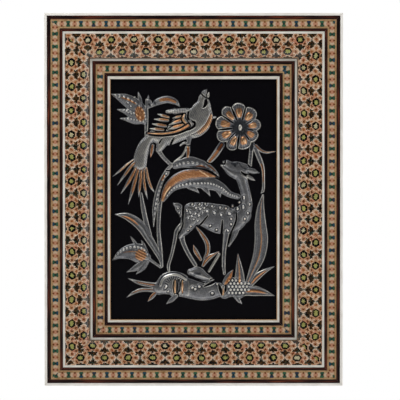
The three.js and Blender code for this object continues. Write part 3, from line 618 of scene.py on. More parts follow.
def bird_wing(r):
    high = 2.1
    covert = r.ridge(
        [[-21.6, 70.4], [-15, 70.9], [-8, 71.2], [-4.6, 70.8]], [0.5, 1.6, 1.9, 1.4],
        1.8, "dome", over=True, tone=0.12, rim=0.4,
    )
    r.ticks(covert, 1.6, 1.2)
    r.groove([[-22.8, 55.8], [-21, 60.6], [-19, 64.4], [-15, 67.4], [-8.6, 69]], [0.9, 1.2, 1.6, 1.1, 0.7])
    rows = [
        ([-20.4, 66], [-28.9, 68.7], 1.4),
        ([-20.8, 63.6], [-31.8, 64.6], 1.45),
        ([-22.6, 59], [-33.5, 60.8], 1.5),
        ([-24.6, 56], [-35.4, 57], 1.3),
        ([-10.4, 67], [-17, 65.4], 1.2),
        ([-8.4, 64.2], [-20, 60], 1.7),
        ([-9, 59.6], [-20.6, 56.4], 1.8),
    ]
    for root, tip, half in rows:
        feather = r.spray(root, tip, half, high, "dome", copper=(-0.35, 0.8), moat=0.6, tone=0.1, rim=1.2)
        r.fade(feather, -0.2, 0.8)
        # Painted highlight towards each feather's tip
        r.shade([between(root, tip, 0.6), tip], [0.9, 0.6], 0.3)
    r.groove([[-4.2, 70.4], [-4.5, 65.4], [-1.6, 63], [0.8, 61.8], [0.4, 59], [-3.4, 56.4]], [0.7, 0.9, 0.8, 0.9, 1, 0.8])
    r.ridge([[-2.8, 63.4], [-2.4, 60.4], [-4, 58.2]], [1, 1.6, 1], high, "dome", over=True, tone=-0.05)
    blade = r.ridge(
        [[-7.4, 68.2], [-8.2, 65], [-6, 61.8], [-4.6, 59.4], [-7.6, 57.2]],
        [0.8, 1.5, 1.3, 1.3, 0.9], high, "dome", copper=(-0.4, 0.9), moat=0.8, tone=0.3, rim=1,
    )
    r.veins(blade, 2, 0.5)
    long_feather = r.ridge(
        [[-4.4, 59.4], [-9.9, 56.3], [-17, 54], [-26.6, 52.9], [-37.6, 53.4]],
        [1.4, 1.2, 1, 1, 0.3], high, "dome", copper=(0, 0.95), moat=0.8, tone=0.05, rim=0.8,
    )
    r.veins(long_feather, 2, 0.6)
    r.groove([[1, 60], [-2, 57.3], [-6, 55.6], [-14.9, 52.5], [-26.6, 51.1], [-36, 51.7]], [0.5, 0.7, 0.6, 0.6, 0.55, 0.3])


FLOWER_CENTRE = (37.5, 57.8)
# Its petals, each from one gap to the next: turn of the first gap in degrees, how far the
# outline reaches at that gap and in the middle of the petal, and how open the gap is
PETALS = (
    (74.7, 16.7, 20.1, 0.7),
    (113.7, 17.4, 21, 1),
    (146.2, 16.9, 20.5, 0.7),
    (186, 17.2, 20.4, 1),
    (226, 15.6, 19.9, 0.35),
    (262, 16.6, 17.9, 1),
    (306.4, 14.9, 16.4, 0.6),
    (349.1, 13.6, 16.9, 0.55),
    (390.4, 14.2, 18.8, 0.4),
)
HEART_RADIUS = 6.2


def flower(r):
    """A flower of nine broad petals round a dark heart with a boss."""
    turns, notches, reaches, gaps = (np.array(row) for row in zip(*PETALS))
    dx, dz = r.x - FLOWER_CENTRE[0], r.z - FLOWER_CENTRE[1]
    away = np.hypot(dx, dz)
    at = np.nonzero(away < reaches.max() + REACH)[0]
    away = away[at]
    angle = np.mod(np.degrees(np.arctan2(dz[at], dx[at])) - turns[0], 360) + turns[0]
    petal = np.searchsorted(turns, angle, side="right") - 1
    after = (petal + 1) % len(PETALS)
    ends = np.append(turns[1:], turns[0] + 360)
    run = (angle - turns[petal]) / (ends[petal] - turns[petal])
    side = 2 * run - 1
    notch = np.where(side < 0, notches[petal], notches[after])
    outline = notch + (reaches[petal] - notch) * (1 - np.abs(side) ** 2.2)
    from_gap = np.where(side < 0, angle - turns[petal], ends[petal] - angle)
    open_gap = np.where(side < 0, gaps[petal], gaps[after])
    beside = np.radians(from_gap) * away
    slot = 0.15 + 0.5 * open_gap * bell(away, 12, 9)
    slot = slot * np.where(away > notch - 2.5, open_gap > 0.6, 1)
    edge = np.minimum((outline - away) * 0.92, np.where(slot > 0.1, beside - slot, beside + 0.7))
    edge = np.where(away < HEART_RADIUS, np.maximum(edge, 0.8), edge)
    self_edge = np.where(edge > 0, edge, np.where(away > outline, (outline - away) * 0.92, edge))
    r.edge[at] = np.maximum(self_edge, np.where(away > outline, r.edge[at], OUTSIDE))
    inside = edge > 0
    at, away, side, edge, outline = at[inside], away[inside], side[inside], edge[inside], outline[inside]
    share = away / outline
    mound = bell(share, 0.6, 0.32) * (1 - ease(np.abs(side), 0.35, 0.75))
    r.height[at] = 1.2 + 0.7 * mound + 0.45 * bell(edge, 0.5, 0.8) - 0.8 * (1 - ease(away, 4, 9))
    # Painted highlight and painted shade at the outer ends of the petals
    r.rim[at] = 1.3 * ease(away, 9, 12)
    r.tone[at] = 0.12 * mound - 0.62 * (1 - ease(away, 5, 9.5))
    r.copper[at] = ease(mound, 0.15, 0.6)
    r.rule(at, side * 3.5, 0.55 + 0.35 * ease(away, 6, 9))
    r.bead(FLOWER_CENTRE, 1.6, 2.5, 1.9, dent=0.2)
    r.tone[np.hypot((r.x - FLOWER_CENTRE[0]) / 1.6, (r.z - FLOWER_CENTRE[1]) / 2.5) < 1] = 0.35
    r.shade([[37.7, 58.4], [37.9, 56.8]], [0.5, 0.5], -0.6)
    for turn, reach in ((94, 0.6), (130, 0.62), (206, 0.55), (244, 0.6), (284, 0.55), (52, 0.58)):
        r.crest([polar(FLOWER_CENTRE, 8.5, turn), polar(FLOWER_CENTRE, 20 * reach + 2, turn + 5)], 0.9, 0.3, 0.35)


def doe_legs(r):
    r.ridge(
        [[-9.4, -18.6], [-13.6, -25], [-15.2, -33], [-17.6, -44], [-20.2, -53], [-19.9, -58]],
        [0.8, 1.6, 1.5, 1.35, 1.3, 1], 1.3, "stem", rim=1.3,
    )
    r.ridge([[-9.8, -29], [-8.4, -35], [-4.4, -43.5], [1.4, -53]], [2.4, 1.9, 1.7, 1.6], 1.2, "stem", rim=1.1)
    r.ridge([[34, -25.6], [32, -30.5], [28.4, -37.4]], [2.4, 1.9, 0.8], 1.1, "dome", rim=1.1)
    r.ridge([[20.6, -44.2], [16.6, -51], [12.4, -58]], [1.2, 1.2, 1], 1.3, "dome", tone=0.4)


def doe_body(r):
    tail = r.ridge([[-15.8, -3.6], [-12.8, -5.6], [-10.6, -9], [-9.8, -14.6]], [0.9, 2.8, 3.1, 0.6], 1.3, "dome")
    r.stipple(tail, 2.6, 0.2)
    trunk = r.body(
        [
            ([[-1.5, -11], [-4, -18], [-7, -24], [-10.8, -30.6]], [7.6, 6.6, 4.8, 1.5]),
            ([[-1, -11], [9, -12.3], [21, -15.8], [31, -16.5], [39, -12.5]], [8.4, 9.8, 11.8, 10.5, 7.5]),
            ([[39.5, -13], [42.4, -4], [41.8, 5], [39.6, 13.5], [38, 20]], [6.5, 5, 4, 4.2, 5]),
        ],
        1.9, tone=-0.03, rim=0.75,
    )
    r.stipple(trunk, 1.7, 0.05)
    r.groove([[-8.1, -4.6], [-8.5, -10.3], [-8.9, -16.6], [-8.6, -20], [-10.2, -24.6], [-13, -29.6]],
             [0.9, 0.8, 0.5, 0.4, 0.5, 0.35])
    r.groove([[11.6, -13], [8.6, -16.6], [5.4, -20.4], [3.6, -21.2]], [0.22, 0.4, 0.5, 0.5])
    r.groove([[23.2, -17], [22.9, -22.8], [22.3, -30]], [0.25, 0.7, 0.8])
    r.groove([[34.3, -10.6], [34.4, -16.6], [32.4, -22], [29.9, -27.9], [28.2, -35]], [0.35, 0.55, 0.5, 0.55, 0.6])
    r.shade([[34, -9.6], [33, -11]], [1.2, 1.2], -0.4)
    leg = r.ridge(
        [[26.6, -26], [25.6, -33], [24.6, -42], [24.2, -52], [24.8, -60]],
        [2.6, 2.1, 1.6, 1.5, 1.1], 1.9, "stem", rim=1.1,
    )
    r.ticks(leg, 3, 0.2)
    r.crest([[-7.3, -11.6], [-7.2, -18], [-7.6, -23.6]], 0.7, 0.15, 0.4)
    r.crest([[38.6, 19.6], [43.2, 16.4], [44.7, 11.4], [46, 5.1], [46.6, -1.1]], 0.8, 0.2, 0.45)


# Raised spots of the doe: place, half width and half height, in mm
DOE_SPOTS = (
    (40.6, 1.4, 0.9, 1.7), (36.8, -2.4, 1.2, 1.2), (31.4, -5.3, 1.1, 1.4), (35.4, -7.4, 1.2, 1.6),
    (40, -6.1, 1.1, 1.8), (45.2, -4, 0.8, 1.1), (43.8, -11.1, 1, 1), (41.2, -15.7, 1, 1.3),
    (26, -7.2, 1.1, 1), (21.4, -6.5, 1.3, 1.1), (16.8, -10.7, 1.2, 1.2), (22.2, -12.4, 1.1, 1.1),
    (28.9, -11.5, 1.6, 1.2), (30.2, -15.7, 1, 1.2), (30.2, -19.9, 1, 1.2), (27.6, -25.3, 0.9, 1.1),
    (13.4, -21.2, 1.3, 0.8), (18.4, -24.5, 1, 1), (15, -5.4, 1.1, 0.9), (11, -9.6, 1.2, 1),
    (-1, -3.9, 1.3, 1), (4.8, -3.9, 1.2, 1), (9.4, -3.6, 1.1, 0.9), (2, -6.8, 1.1, 0.9),
    (-2.7, -10.3, 0.9, 1.5), (-5.4, -9, 0.8, 1.4), (5.3, -7.6, 1.1, 1), (8.6, -6.9, 1, 0.8),
    (1.5, -11.6, 1.6, 0.8), (4.4, -13, 1.3, 0.8), (-1.4, -13.6, 1.1, 0.8), (-4.4, -15.3, 1.2, 0.7),
    (0.2, -16, 1, 0.7), (7.2, -10.6, 1, 0.8), (-4.4, -25, 1, 0.7), (-2.3, -21.8, 1.1, 0.7),
    (3.4, -17.4, 0.9, 0.6), (-12.6, -7.2, 0.8, 0.8), (-11.6, -11, 0.7, 0.9), (-10.6, -13.8, 0.6, 0.7),
)


def doe_spots(r):
    draw = np.random.default_rng(7)
    for x, z, half_width, half_height in DOE_SPOTS:
        turn = 0 if x > 25 else draw.uniform(20, 50)
        r.bead([x, z], half_width, half_height, 2.3, turn, copper=draw.uniform(0, 0.9), dent=0.45)


def doe_head(r):
    r.body(
        [
            ([[39.4, 23.4], [34.4, 24.4], [29.6, 26.2], [26.6, 28.4]], [5.9, 6.2, 4.6, 3.4]),
            ([[34.6, 20.6], [30, 22], [26, 24.6], [23.4, 26.6]], [4.6, 3.4, 1.8, 0.9]),
            ([[42, 23.4], [45, 23.6]], [3, 2.2]),
        ],
        1.8, rim=0.75,
    )
    r.bead([24.2, 30], 0.9, 1.1, 1.9, 20)
    r.bead([22.7, 27.3], 1.2, 0.9, 1.9, 20)
    r.groove([[23.4, 28.7], [25, 28.6], [25.6, 31.4], [25, 33]], [0.5, 0.5, 0.5, 0.5])
    r.shade([[30.8, 29], [33.2, 28.2], [35.2, 29.2]], [1.2, 1.7, 1.2], -0.5)
    r.shade([[33, 28], [33.4, 26.6]], [1.2, 1], -0.5)
    r.shade([[36.8, 28.8], [39, 26], [42, 24.4]], [0.7, 0.8, 0.8], -0.4)
    r.groove([[38.4, 22.2], [40.6, 20.4], [44, 19.4], [48, 19.9]], [0.35, 0.8, 1, 0.6])
    r.groove([[44, 27.6], [45, 26.4], [46.8, 25.9]], [0.5, 0.5, 0.3])
    r.spray([44, 23.8], [52.8, 21.4], 2.2, 1.8, "dome")
    r.ridge([[44, 22.2], [48.6, 22], [52.4, 21.3]], [0.5, 0.7, 0.3], 2, "dome", tone=0.35)
    r.spray([43.6, 18.6], [49.4, 15.2], 1.5, 1.4, "dome", tone=0.15)


def plant_between_legs(r):
    for points, half_widths, middle in (
        ([[2.2, -22.4], [6.6, -28], [10.8, -35.1], [11.3, -42.4], [9, -47.6]], [0.6, 1.5, 2, 1.8, 1.2], 0.1),
        ([[-0.2, -36.6], [1.6, -41.6], [5.8, -48.6]], [0.2, 1.8, 1.2], -0.3),
        ([[7.6, -53.4], [11.5, -47.6], [20.4, -42.2]], [1.2, 2.2, 0.3], 0.1),
    ):
        leaf = r.ridge(points, half_widths, 1.2, copper=(middle, 0.6), rim=1.1)
        r.veins(leaf, 2, 0.5)


def ground_mounds(r):
    left = r.body([([[-28, -71.6], [-20, -68.2], [-12, -69], [-5, -72]], [5.4, 9.6, 9.8, 7.6])], 1.7, tone=0, rim=0.9)
    r.stipple(left, 2.2, 0.1)
    r.line([[-28.4, -69], [-25.4, -62.6], [-19.4, -59.4], [-12, -59.4], [-6.4, -63]], 0.8, 0.4, 0.35)
    r.crest([[-26.8, -69.4], [-24.4, -64.2], [-19.2, -61.2], [-12.3, -61.2], [-6.2, -64.6]], 1.2, 0.35, 0.55)
    for i in range(9):
        turn = 158 - i * 13
        centre = [-15.6, -70.4]
        r.line([polar(centre, 5.8, turn), polar(centre, 8.2, turn)], 0.55, 0.5, 0.8)
    r.bead([-22.4, -70.7], 1.9, 1, 2.3, 55, copper=0.5, dent=0.5)
    r.bead([-20.4, -74.2], 1.2, 0.8, 2.1, 40, copper=0.4, dent=0.3)
    for x in (-14.9, -9):
        r.ridge([[x, -65.8], [x - 0.2, -70.5], [x, -75.4]], [0.8, 1.2, 0.7], 2, "dome", copper=(0, 0.9), moat=0.5, tone=0.15)
    r.ridge([[-12, -65.4], [-12, -70.4], [-12.2, -74]], [0.5, 0.8, 0.5], 1.9, "dome", moat=0.6, tone=-0.4)
    r.groove([[-12.8, -75], [-13, -77.4], [-13, -80]], [0.5, 1.2, 0.9])
    right = r.body([([[-3, -72], [6, -73.6], [14, -73.4], [20.4, -73]], [8, 8, 7.4, 5.8])], 1.5, tone=-0.02, rim=1)
    r.stipple(right, 1.9, 0.07)
    # Painted highlight down the edge of the mound
    r.shade([[-4.4, -66], [-3.6, -72], [-4.6, -78]], [0.5, 0.8, 0.5], 0.3)
    hill = r.body([([[-2.6, -58.6], [3, -58.8], [9, -62.2], [16, -65]], [2.6, 4.6, 3.2, 0.9])], 1.8, tone=0.05, rim=1.1)
    r.stipple(hill, 1.9, 0.12)
    r.shade([[1, -59.6], [5, -60]], [1.5, 1.2], -0.5)
    r.groove([[-4.6, -62.8], [2.6, -65.2], [8.6, -67.2]], [0.35, 0.55, 0.4])
    r.groove([[8.4, -70.2], [13, -68.2], [18, -65.6], [24, -63.6]], [0.3, 1, 1.1, 0.3])
    r.groove([[13.6, -64.6], [19, -63.6]], [0.4, 0.4])
    for centre in ([-0.8, -71.3], [1.2, -72.4], [4.6, -70.3], [15.1, -75.7], [19.3, -68.4]):
        r.bead(centre, 1.3, 1.2, 2.3, copper=0.5, dent=0.4)
    r.body([([[25, -75.8], [30, -72], [37, -72], [43, -72.4]], [4.4, 8.2, 8.4, 5])], 1.2, tone=-0.05, rim=0.8)


def ground_beads(r):
    pitch = 2.9
    rows = 5
    beads_in_row = 6
    radius = 1.25
    first = (28.4, -65.4)
    for row in range(rows):
        shift = pitch / 2 if row % 2 else 0
        for i in range(beads_in_row):
            centre = [first[0] + shift + i * pitch, first[1] - row * pitch * 0.87]
            if row + i < 9 and (row > 0 or i < 4):
                r.bead(centre, radius, radius, 1.75, dent=0.2)


def ground_leaves(r):
    for points, half_widths, middle in (
        ([[-30, -69.6], [-37, -68.6], [-44.5, -67], [-52.8, -63.8]], [2.2, 2, 1.6, 0.2], -0.1),
        ([[-30, -73.4], [-41, -73], [-48, -75.2], [-53.9, -79]], [1.6, 1.6, 1.3, 0.2], -0.2),
        ([[45.6, -68.8], [50.4, -63], [57, -58.2], [65, -54.2]], [2.2, 2.9, 1.9, 0.2], -0.1),
        ([[40.6, -74.6], [48.5, -73.8], [56.5, -75.2], [65.4, -77.8]], [3.2, 4.2, 2.8, 0.2], 0),
    ):
        leaf = r.ridge(points, half_widths, 1.3, copper=(middle, 0.4), rim=1.1)
        r.veins(leaf, 3, 0.5)
        r.fade(leaf, -0.1, 0.9)
    r.spray([-30.6, -75.4], [-36.9, -82.4], 1.7, 1, "dome", copper=(-0.4, 0.6))
    r.spray([-14, -78], [-21.9, -84.3], 1.9, 1, "dome")
    r.spray([34, -79], [39, -84.4], 1.5, 1, "dome")
    spear = r.ridge([[35.7, -44], [36.4, -52], [37, -60], [37, -67]], [0.3, 2.1, 3.6, 4.4], 1.5, copper=(0, 0.28), rim=1.1)
    r.veins(spear, 3, 0.5)
    small = r.spray([25.4, -67], [31.7, -56.8], 2.6, 1.4, "dome", copper=(-0.4, 0.7), moat=0.4)
    r.veins(small, 2, 0.6)
    r.groove([[20.2, -68.6], [21.6, -72.6], [22.6, -76.6]], [0.4, 1.2, 0.5])
    r.groove([[25.8, -69], [25.6, -73], [23, -77.2]], [0.4, 0.8, 0.6])
    r.ridge([[23.6, -77], [24, -74], [23.4, -70]], [0.8, 1, 0.3], 1.4, "dome", copper=(0, 0.9), over=True, tone=0.1)


FORMS = (
    left_plant, arching_leaf, flower_stems, tall_leaf, upper_bud, lower_bud, bird_legs, bird_body,
    bird_wing, flower, plant_between_legs, doe_legs, doe_body, doe_spots, doe_head, ground_mounds,
    ground_leaves, ground_beads,
)
MARK_MARGIN = 0.95
# Passes and range of the brightness by how far the metal stands proud: partly tin worn bright by rubbing and tarnish,
# partly painted highlight and painted shade
RUBBED_AND_SHADED_PASSES = 14
RUBBED_AND_SHADED_RANGE = 0.3


def places(mesh):
    """Where the points of the sheet are, in mm from the middle of the opening."""
    flat = np.empty(len(mesh.vertices) * 3)
    mesh.vertices.foreach_get("co", flat)
    flat = flat.reshape(-1, 3) / MM
    return flat[:, 0], flat[:, 2] - MIDDLE_HEIGHT


def level(mesh, values, passes):
    """The values averaged over and over with those of the neighbours."""
    ends = np.empty(len(mesh.edges) * 2, np.int64)
    mesh.edges.foreach_get("vertices", ends)
    a, b = ends[0::2], ends[1::2]
    count = np.bincount(a, minlength=len(values)) + np.bincount(b, minlength=len(values))
    for _ in range(passes):
        total = np.bincount(a, values[b], len(values)) + np.bincount(b, values[a], len(values))
        values = 0.5 * values + 0.5 * total / np.maximum(count, 1)
    return values


def worked_sheet(settings):
    """A flat sheet facing -Y, finely divided where the metal is worked."""
    width, height = PLATE_HIGH.x - PLATE_LOW.x, PLATE_HIGH.z - PLATE_LOW.z
    cell = settings.cell / MM
    bm = bmesh.new()
    bmesh.ops.create_grid(bm, x_segments=round(width / cell), y_segments=round(height / cell), size=0.5)
    bmesh.ops.scale(bm, vec=(width * MM, height * MM, 1), verts=bm.verts)
    bmesh.ops.rotate(bm, cent=(0, 0, 0), matrix=Matrix.Rotation(math.pi / 2, 3, "X"), verts=bm.verts)
    bmesh.ops.translate(bm, vec=(0, PLATE_FRONT * MM, MIDDLE_HEIGHT * MM), verts=bm.verts)
    bm.faces.ensure_lookup_table()
    centres = np.array([face.calc_center_median() for face in bm.faces]) / MM
    marks = Relief(centres[:, 0], centres[:, 2] - MIDDLE_HEIGHT)
    for form in FORMS:
        form(marks)
    worked = marks.edge > -MARK_MARGIN
    edges = {edge for face, near in zip(bm.faces, worked) if near for edge in face.edges}
    bmesh.ops.subdivide_edges(bm, edges=list(edges), cuts=settings.divisions - 1, use_grid_fill=True)
    return bm


def close_back(bm):
    """Gives the sheet its sides and its back."""
    rim = [edge for edge in bm.edges if edge.is_boundary]
    for edge in rim:
        edge.smooth = False
    made = bmesh.ops.extrude_edge_only(bm, edges=rim)["geom"]
    corners = [item for item in made if isinstance(item, bmesh.types.BMVert)]
    for vert in corners:
        vert.co.y = PLATE_BACK * MM
    back = [item for item in made if isinstance(item, bmesh.types.BMEdge) and item.is_boundary]
    bmesh.ops.contextual_create(bm, geom=back)
    bmesh.ops.recalc_face_normals(bm, faces=bm.faces)


def store(mesh, name, values):
    attribute = mesh.attributes.new(name, "FLOAT", "POINT")
    attribute.data.foreach_set("value", values.astype(np.float32))


def engraved_plate(settings):
    bm = worked_sheet(settings)
    for face in bm.faces:
        face.smooth = True
    mesh = bpy.data.meshes.new("engraved_plate_relief")
    bm.to_mesh(mesh)
    relief = Relief(*places(mesh))
    for form in FORMS:
        form(relief)
    high = np.maximum(relief.height, 0) * ease(relief.edge, WALL_FROM, WALL_TO)
    flat = np.empty(len(mesh.vertices) * 3)
    mesh.vertices.foreach_get("co", flat)
    flat[1::3] = (PLATE_FRONT - high) * MM
    mesh.vertices.foreach_set("co", flat)
    # Brightness by how far the metal stands proud of the metal round it: bright on tops and dark in hollows, partly tin
    # worn bright by rubbing and tarnish, partly painted highlight and painted shade
    worked = (relief.edge > 0.3).astype(float)
    around = level(mesh, relief.height * worked, RUBBED_AND_SHADED_PASSES) / np.maximum(level(mesh, worked, RUBBED_AND_SHADED_PASSES), 0.02)
    proud = (relief.height - around) * worked
    store(mesh, "inwards", relief.edge)
    # Strength of the painted highlight along each form's edge and the painted shade just inside it
    store(mesh, "rim", relief.rim)
    store(mesh, "phase", relief.phase)
    store(mesh, "lines", relief.lines)
    store(mesh, "bare_copper", np.clip(relief.copper, 0, 1))
    # Painted highlight and painted shade, with tin worn bright by rubbing and tarnish, plus each form's tone
    store(mesh, "rubbed_and_shaded", 0.5 + proud / (2 * RUBBED_AND_SHADED_RANGE) + relief.tone)
    bm.clear()
    bm.from_mesh(mesh)
    close_back(bm)
    bm.to_mesh(mesh)
    bm.free()
    return mesh


# Materials


def add(tree, kind, inputs=(), **settings):
    """Adds a node with its settings, links or sets its inputs, and gives its first output."""
    node = tree.nodes.new(kind)
    for name, value in settings.items():
        setattr(node, name, value)
    pairs = inputs.items() if isinstance(inputs, dict) else enumerate(inputs)
    for key, value in pairs:
        if isinstance(value, bpy.types.NodeSocket):
            tree.links.new(value, node.inputs[key])
        elif value is not None:
            node.inputs[key].default_value = value
    return node.outputs[0] if node.outputs else node


def rgba(value):
    return (*value, 1)


def new_material(name):
    material = bpy.data.materials.new(name)
    material.use_nodes = True
    tree = material.node_tree
    tree.nodes.clear()
    return material, tree


def surface(tree, **values):
    """The shader, given by its sockets' names with underscores, and the output."""
    inputs = {name.replace("_", " "): value for name, value in values.items()}
    shader = add(tree, "ShaderNodeBsdfPrincipled", inputs)
    add(tree, "ShaderNodeOutputMaterial", {"Surface": shader})


def ramp(tree, factor, stops, interpolation="LINEAR"):
    """A colour ramp through pairs of place and linear colour."""
    out = add(tree, "ShaderNodeValToRGB", (factor,))
    line = out.node.color_ramp
    line.interpolation = interpolation
    while len(line.elements) < len(stops):
        line.elements.new(1)
    for element, (place, tint) in zip(line.elements, stops):
        element.position = place
        element.color = rgba(tint)
    return out


def noise(tree, vector, size_mm, detail=2.0, stretch=(1, 1, 1)):
    """Noise with lumps of about the given size, on Object coordinates in mm."""
    placed = add(tree, "ShaderNodeMapping", {0: vector, "Scale": stretch}, vector_type="POINT")
    return add(tree, "ShaderNodeTexNoise", {"Vector": placed, "Scale": 1 / size_mm, "Detail": detail})


def position_mm(tree):
    """Object coordinates in mm, measured from the middle of the frame."""
    coordinates = tree.nodes.new("ShaderNodeTexCoord").outputs["Object"]
    scaled = add(tree, "ShaderNodeVectorMath", (coordinates, (1 / MM,) * 3), operation="MULTIPLY")
    return add(tree, "ShaderNodeVectorMath", (scaled, (0, 0, -MIDDLE_HEIGHT)), operation="ADD")


class RailPlace:
    """Where a point of the frame is, in mm. inwards is its distance from the outer edge and
    lengthwise its place along the rail: along X on a level rail, along Z on an upright one."""

    def __init__(self, tree):
        self.tree = tree
        self.place = position_mm(tree)
        split = tree.nodes.new("ShaderNodeSeparateXYZ")
        tree.links.new(self.place, split.inputs[0])
        x, self.depth, z = split.outputs
        side = add(tree, "ShaderNodeMath", (x,), operation="ABSOLUTE")
        rise = add(tree, "ShaderNodeMath", (z,), operation="ABSOLUTE")
        from_side = add(tree, "ShaderNodeMath", (HALF_WIDTH, side), operation="SUBTRACT")
        from_end = add(tree, "ShaderNodeMath", (HALF_HEIGHT, rise), operation="SUBTRACT")
        self.inwards = add(tree, "ShaderNodeMath", (from_side, from_end), operation="MINIMUM")
        self.upright = add(tree, "ShaderNodeMath", (from_side, from_end), operation="LESS_THAN")
        self.lengthwise = add(tree, "ShaderNodeMix", {0: self.upright, 2: x, 3: z}, data_type="FLOAT")
        self.is_right = add(tree, "ShaderNodeMath", (x, 0.0), operation="GREATER_THAN")
        self.is_top = add(tree, "ShaderNodeMath", (z, 0.0), operation="GREATER_THAN")
        self.grain = add(tree, "ShaderNodeCombineXYZ", (self.lengthwise, self.inwards, self.depth))

    def by_side(self, top, left, bottom, right):
        """A value for each rail."""
        level = add(self.tree, "ShaderNodeMix", {0: self.is_top, 2: bottom, 3: top}, data_type="FLOAT")
        standing = add(self.tree, "ShaderNodeMix", {0: self.is_right, 2: left, 3: right}, data_type="FLOAT")
        return add(self.tree, "ShaderNodeMix", {0: self.upright, 2: level, 3: standing}, data_type="FLOAT")


def finish_sections(names, material):
    for side in SIDES:
        for name in names:
            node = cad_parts[side + "_" + name]
            node.data.materials.clear()
            node.data.materials.append(material)


# Painted highlight and painted shade at a form's edge: how its brightness runs in from the
# edge, a bright band by the rim and a darker band inside it. Pairs of mm / RIM_SPAN and
# level, where 0.5 is that of the middle
RIM_SPAN = 2.4
RIM_PAINTED_LIGHT = ((0, 0.35), (0.08, 0.6), (0.19, 0.95), (0.3, 0.62), (0.42, 0.3), (0.6, 0.42), (0.85, 0.5), (1, 0.5))


def curve(tree, factor, points):
    """A curve through pairs of place and value, from 0 to 1."""
    out = add(tree, "ShaderNodeFloatCurve", {1: factor})
    line = out.node.mapping.curves[0]
    for place, value in points[1:-1]:
        line.points.new(place, value)
    line.points[0].location = points[0]
    line.points[-1].location = points[-1]
    out.node.mapping.update()
    return out


def plate_material(settings):
    """Tinned copper sheet, raised from behind, chased, blackened and worn back by rubbing: bright
    where it stands proud and grey in the hollows, partly as tin worn bright and tarnish and
    partly as painted highlight and painted shade, with a painted highlight along each form's
    rim and painted shade just inside it; copper where the tin is worn through. The ground
    between the figures is satin black paint."""
    material, tree = new_material("tinned_copper_chased_and_blackened")
    place = position_mm(tree)
    inwards, rim, phase, lines, worn, rubbed_and_shaded = (
        add(tree, "ShaderNodeAttribute", attribute_name=name).node.outputs["Fac"]
        for name in ("inwards", "rim", "phase", "lines", "bare_copper", "rubbed_and_shaded")
    )
    is_metal = add(tree, "ShaderNodeMapRange", (inwards, -0.12, 0.12))
    turn = add(tree, "ShaderNodeMath", (phase, math.tau), operation="MULTIPLY")
    wave = add(tree, "ShaderNodeMath", (turn,), operation="COSINE")
    tooled = add(tree, "ShaderNodeMath", (wave, lines), operation="MULTIPLY")
    # Painted highlight along each form's rim and painted shade just inside it, by distance in from the edge and as
    # strong as the rim attribute
    in_share = add(tree, "ShaderNodeMapRange", (inwards, 0.0, RIM_SPAN))
    border = curve(tree, in_share, RIM_PAINTED_LIGHT)
    border = add(tree, "ShaderNodeMath", (border, 0.5), operation="SUBTRACT")
    border = add(tree, "ShaderNodeMath", (border, rim), operation="MULTIPLY")
    mottle = noise(tree, place, 3.5, 3)
    brush = noise(tree, place, 0.8, 2)
    # Brightness of the metal: tin worn by rubbing and tarnish mixed with painted highlight where it stands proud and
    # painted shade in the hollows, the painted rim highlight and shade, tool lines and mottle
    bright = add(tree, "ShaderNodeMath", (border, 0.75, rubbed_and_shaded), operation="MULTIPLY_ADD")
    bright = add(tree, "ShaderNodeMath", (tooled, 0.13, bright), operation="MULTIPLY_ADD")
    bright = add(tree, "ShaderNodeMath", (mottle, 0.5, bright), operation="MULTIPLY_ADD")
    bright = add(tree, "ShaderNodeMath", (brush, 0.6, bright), operation="MULTIPLY_ADD")
    bright = add(tree, "ShaderNodeMath", (bright, 0.55), operation="SUBTRACT", use_clamp=True)
    # Low brightness gives tarnish and dark copper, with painted shade; high brightness gives tin and copper worn
    # bright, with painted highlight
    tin = ramp(tree, bright, [(0.0, settings.tarnish), (0.5, settings.tin_dull), (1.0, settings.tin)])
    bare = ramp(tree, bright, [(0.1, settings.copper_dark), (0.55, settings.copper), (1.0, settings.copper_bright)])
    streak = add(tree, "ShaderNodeMath", (tooled, 0.22, worn), operation="MULTIPLY_ADD")
    streak = add(tree, "ShaderNodeMath", (brush, 0.7, streak), operation="MULTIPLY_ADD")
    is_bare = add(tree, "ShaderNodeMapRange", (streak, 0.75, 1.05))
    some = add(tree, "ShaderNodeMath", (worn, 0.05), operation="GREATER_THAN")
    is_bare = add(tree, "ShaderNodeMath", (is_bare, some), operation="MULTIPLY")
    metal_colour = blend(tree, is_bare, tin, bare)
    dust = noise(tree, place, 1.6, 4)
    paint = ramp(tree, dust, [(0.72, settings.paint), (0.86, linear(0x2C2C30))])
    tint = blend(tree, is_metal, paint, metal_colour)
    rough = add(tree, "ShaderNodeMapRange", (bright, 0.0, 1.0, 0.5, 0.28))
    roughness = add(tree, "ShaderNodeMix", {0: is_metal, 2: 0.25, 3: rough}, data_type="FLOAT")
    high = add(tree, "ShaderNodeMath", (tooled, 0.3, border), operation="MULTIPLY_ADD")
    high = add(tree, "ShaderNodeMath", (brush, 0.8, high), operation="MULTIPLY_ADD")
    high = add(tree, "ShaderNodeMath", (high, is_metal), operation="MULTIPLY")
    grain = add(tree, "ShaderNodeBump", {"Strength": 0.6, "Distance": 0.25 * MM, "Height": high})
    surface(tree, Base_Color=tint, Metallic=is_metal, Roughness=roughness, Normal=grain, Specular_IOR_Level=0.12)
    return material


def wood_material(settings):
    """Walnut, stained nearly black and lacquered: fine dark pores along the rail, and a
    reddish brown where the stain has worn thin."""
    material, tree = new_material("stained_hardwood_lacquered")
    rail = RailPlace(tree)
    pores = noise(tree, rail.grain, 0.9, 3, (0.05, 1, 1))
    worn = noise(tree, rail.grain, 2.2, 3, (0.06, 1, 1))
    mixed = add(tree, "ShaderNodeMath", (pores, 0.45, 0), operation="MULTIPLY_ADD")
    mixed = add(tree, "ShaderNodeMath", (worn, 0.55, mixed), operation="MULTIPLY_ADD")
    tint = ramp(tree, mixed, [(0.42, settings.wood_dark), (0.52, settings.wood), (0.66, settings.wood_red)])
    bump = add(tree, "ShaderNodeBump", {"Strength": 0.3, "Distance": 0.1 * MM, "Height": pores})
    surface(tree, Base_Color=tint, Roughness=0.32, Normal=bump, Specular_IOR_Level=0.2)
    return material


